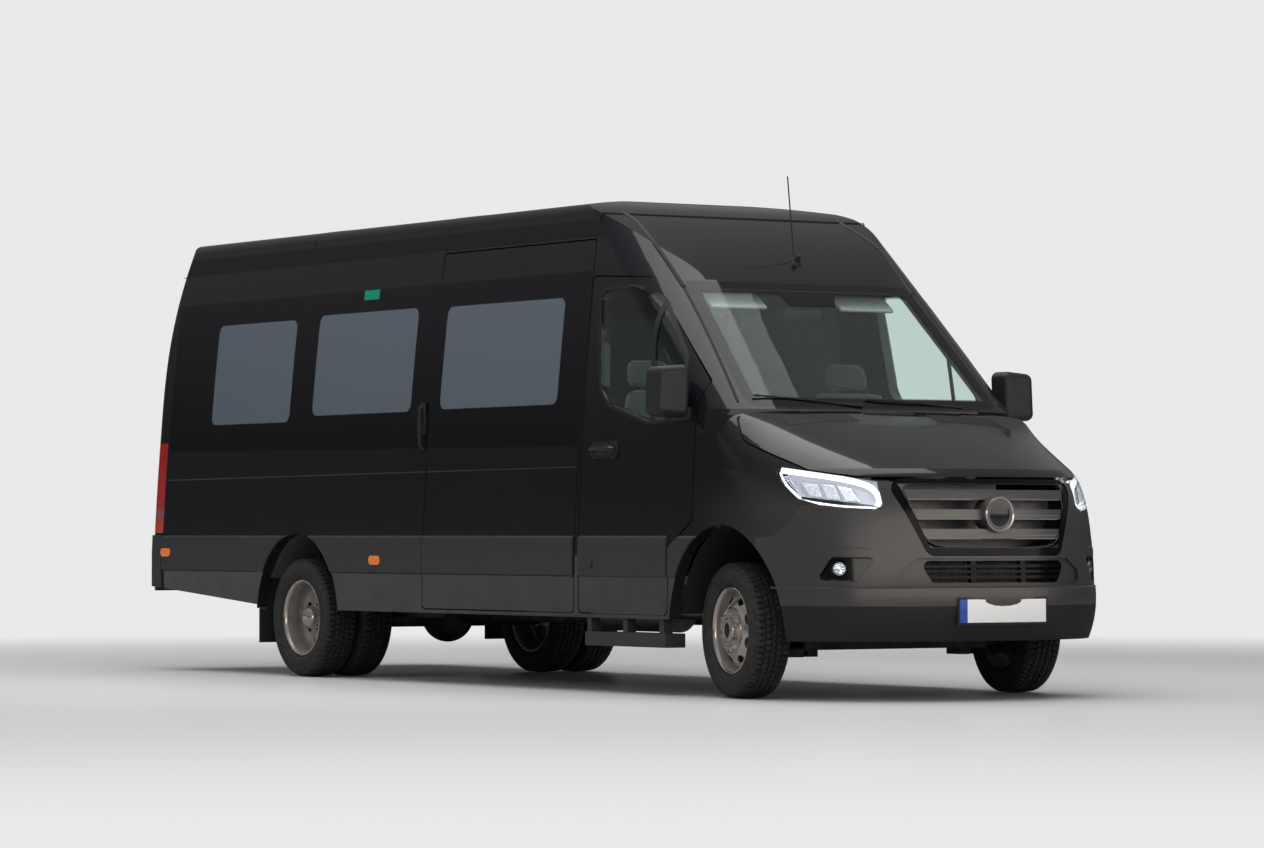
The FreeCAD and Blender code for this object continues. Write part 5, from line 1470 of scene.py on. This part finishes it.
def roofSection():
    # right half of the roof outline, from the gutter to the middle, in (y, z)
    edge = sideAt(roofForm["gutter"]) - 0.005
    eave = edge - 0.009
    top = roofForm["top"]
    first = [(-edge, roofForm["gutter"] + 0.004), (-eave, roofForm["gutter"] + 0.105)]
    bend = arcThrough(first[1], (-eave + 0.014, top - 0.088), (-eave + 0.054, top - 0.058), 6)
    crown = arcThrough((-eave + 0.054, top - 0.058), (0, top), (eave - 0.054, top - 0.058), 24)
    return [first[0]] + bend + crown[1:13]


def capHeight(x):  # top of the roof at a place along the vehicle, over the cab on the curve of the cap
    ahead = max(0.0, roofForm["capEnd"] - (frontAxle - x))
    turn = math.asin(min(0.99, ahead / roofForm["capRadius"]))
    return roofForm["top"] - 0.005 - roofForm["capRadius"] * (1 - math.cos(turn))


def makeRoofSeams():
    mesh = newMesh()
    outline = roofSection()
    outline += [(-y, z) for y, z in reversed(outline[:-1])]
    for x in [behind(distance) for distance in roofForm["seams"]]:
        rings = []
        for i, (y, z) in enumerate(outline):
            before, after = outline[max(i - 1, 0)], outline[min(i + 1, len(outline) - 1)]
            along = Vector((after[0] - before[0], after[1] - before[1])).normalized()
            out = Vector((-along.y, along.x))
            top = min(z, capHeight(x))
            w, lift = roofForm["seamWidth"] / 2, roofForm["seamLift"]
            rings.append([Vector((x - w, y - out.x * 0.004, top - out.y * 0.004)),
                          Vector((x - w, y + out.x * lift, top + out.y * lift)),
                          Vector((x + w, y + out.x * lift, top + out.y * lift)),
                          Vector((x + w, y - out.x * 0.004, top - out.y * 0.004))])
        bridge(mesh, rings)
    addPiece("roofSeams", mesh, "body", "black_plastic")


# grille trim and badge

grilleForm = dict(bars=(1.000, 0.905, 0.810), halves=(0.480, 0.445, 0.410), badge=0.088,
                  ring=[(-0.486, 1.050), (-0.471, 0.998), (-0.443, 0.865), (-0.400, 0.790), (-0.335, 0.755),
                        (-0.200, 0.744), (0.200, 0.744), (0.335, 0.755), (0.400, 0.790), (0.443, 0.865),
                        (0.471, 0.998), (0.486, 1.050)])


def makeGrilleTrim():
    bright = newMesh()
    for z, half in zip(grilleForm["bars"], grilleForm["halves"]):
        for drop, radius, inner in ((-0.023, 0.0036, 0.096), (-0.007, 0.0026, 0.125)):
            for side in (-1, 1):
                points = []
                for i in range(13):
                    y = side * (inner + (half - 0.014 - inner) * i / 12)
                    points.append((noseAt(y, z + drop, 0.0095), y, z + drop))
                roundBar(bright, points, radius, 6)
    addPiece("grilleBrightLines", bright, "body", "lampChrome", slot="gloss_black")
    edge = newMesh()
    ring = [(noseAt(p.x, p.y, 0.006), p.x, p.y) for p in smoothPath(grilleForm["ring"], 5)]
    roundBar(edge, ring, 0.0034, 6)
    addPiece("grilleEdge", edge, "body", "darkChrome", slot="gloss_black")
    duct = newMesh()
    loop = [Vector((y, z)) for y, z in grilleForm["ring"]]
    middle = Vector((0, 0.90))
    rings = []
    for spot in loop + loop[:1]:  # black walls behind the opening, back to the radiator
        outer = middle + (spot - middle) * 1.02
        inner = middle + (spot - middle) * 1.005
        front, back = noseAt(spot.x, min(spot.y, 1.04), 0.030), frontAxle + 0.765
        rings.append([Vector((front, outer.x, outer.y)), Vector((back, outer.x, outer.y)),
                      Vector((back, inner.x, inner.y)), Vector((front, inner.x, inner.y))])
    bridge(duct, rings)
    addPiece("grilleDuct", duct, "body", "black_plastic")
    badge, disc = newMesh(), newMesh()
    centre = (frontAxle + 0.975, 0, grilleForm["bars"][1])
    radius = grilleForm["badge"]
    ringSection = [(0.80, -0.002), (0.82, 0.004), (0.87, 0.008), (0.93, 0.009), (0.98, 0.005), (1.0, -0.004),
                   (1.0, -0.012), (0.80, -0.012), (0.80, -0.002)]
    lathe(badge, [(radius * share, along) for share, along in ringSection], centre, (1, 0, 0), 64)
    lathe(disc, [(0, 0.004), (radius * 0.3, 0.0035), (radius * 0.6, 0.0015), (radius * 0.79, -0.002),
                 (radius * 0.79, -0.010), (0, -0.010)], centre, (1, 0, 0), 48)
    addPiece("badgeRing", badge, "body", "lampChrome", slot="gloss_black")
    addPiece("badgeDisc", disc, "body", "gloss_black")
    net = newMesh()
    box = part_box("radiator")
    x = box[1][0] + 0.004
    for i in range(64):
        z = box[0][2] + 0.02 + i * 0.0066
        softBlock(net, (x, 0, z), (0.006, 0.90, 0.0022), bevel=0.0006, segments=1)
    addPiece("radiatorFins", net, "body", "engine_metal")


# cowl vents, set on the bonnet

cowlForm = dict(slats=9, lift=0.0016, first=0.035, pitch=0.0125, width=0.008,
                spans=((-0.66, -0.24), (0.24, 0.66)))


def bonnetPoint(x, y, lift=0.0):
    # the place on the bonnet above a point in plan
    low, high = 0.95, 1.430
    for step in range(36):
        mid = (low + high) / 2
        if noseAt(y, mid) > x:
            low = mid
        else:
            high = mid
    return Vector((x, y, low + lift))


def makeCowl():
    mesh = newMesh()
    for y0, y1 in cowlForm["spans"]:
        for i in range(cowlForm["slats"]):
            x = frontAxle + cowlForm["first"] + cowlForm["pitch"] * i
            rings = []
            for k in range(15):
                y = y0 + (y1 - y0) * k / 14
                base = bonnetPoint(x, y, cowlForm["lift"])
                after = bonnetPoint(x + cowlForm["width"], y, cowlForm["lift"])
                rings.append([base + Vector((0, 0, -0.004)), base, after, after + Vector((0, 0, -0.004))])
            bridge(mesh, rings)
    addPiece("cowlVents", mesh, "bonnet", "black_plastic")


makeCamera()
makeStudio()
softLight("ceilingPanel", (0.0, 0, 6.5), (0, 0, 0), (8.0, 4.0), 150)
softLight("ceilingFill", (0.0, -1, 9.0), (0, 0, 0), (18.0, 12.0), 1500, False)
softLight("frontGlow", (15, 0, 3.2), (2, 0, 0.9), (30.0, 4.6), 560, True, (1.0, 0.93, 0.87))
softLight("wheelGlow", (-11, -12, 0.42), (0, -1, 0.42), (14.0, 0.8), 18)
softLight("frontPanel", (9, -6, 4.5), (2, 0, 1), (4.0, 3.0), 140, False)
softLight("sidePanel", (-2, -9, 4.0), (0, 0, 1), (7.0, 3.0), 140, False)
dressNodes()
print("studio and finishes in place")
makeTyres()
makeRims()
makeWheelDetail()
print("wheels made")
makePlate()
makeHeadlamps()
makeFogLamps()
makeBumperDetail()
makeWipers()
makeDoorSeals()
makeDoorFittings()
makeSideLines()
makeSeats()
makeCabInside()
print("doors, sides and inside made")
makeRoofSeams()
makeGrilleTrim()
makeCowl()
makePictureLines()
makeAntennaFoot()
print("lamps, plate and wipers made")
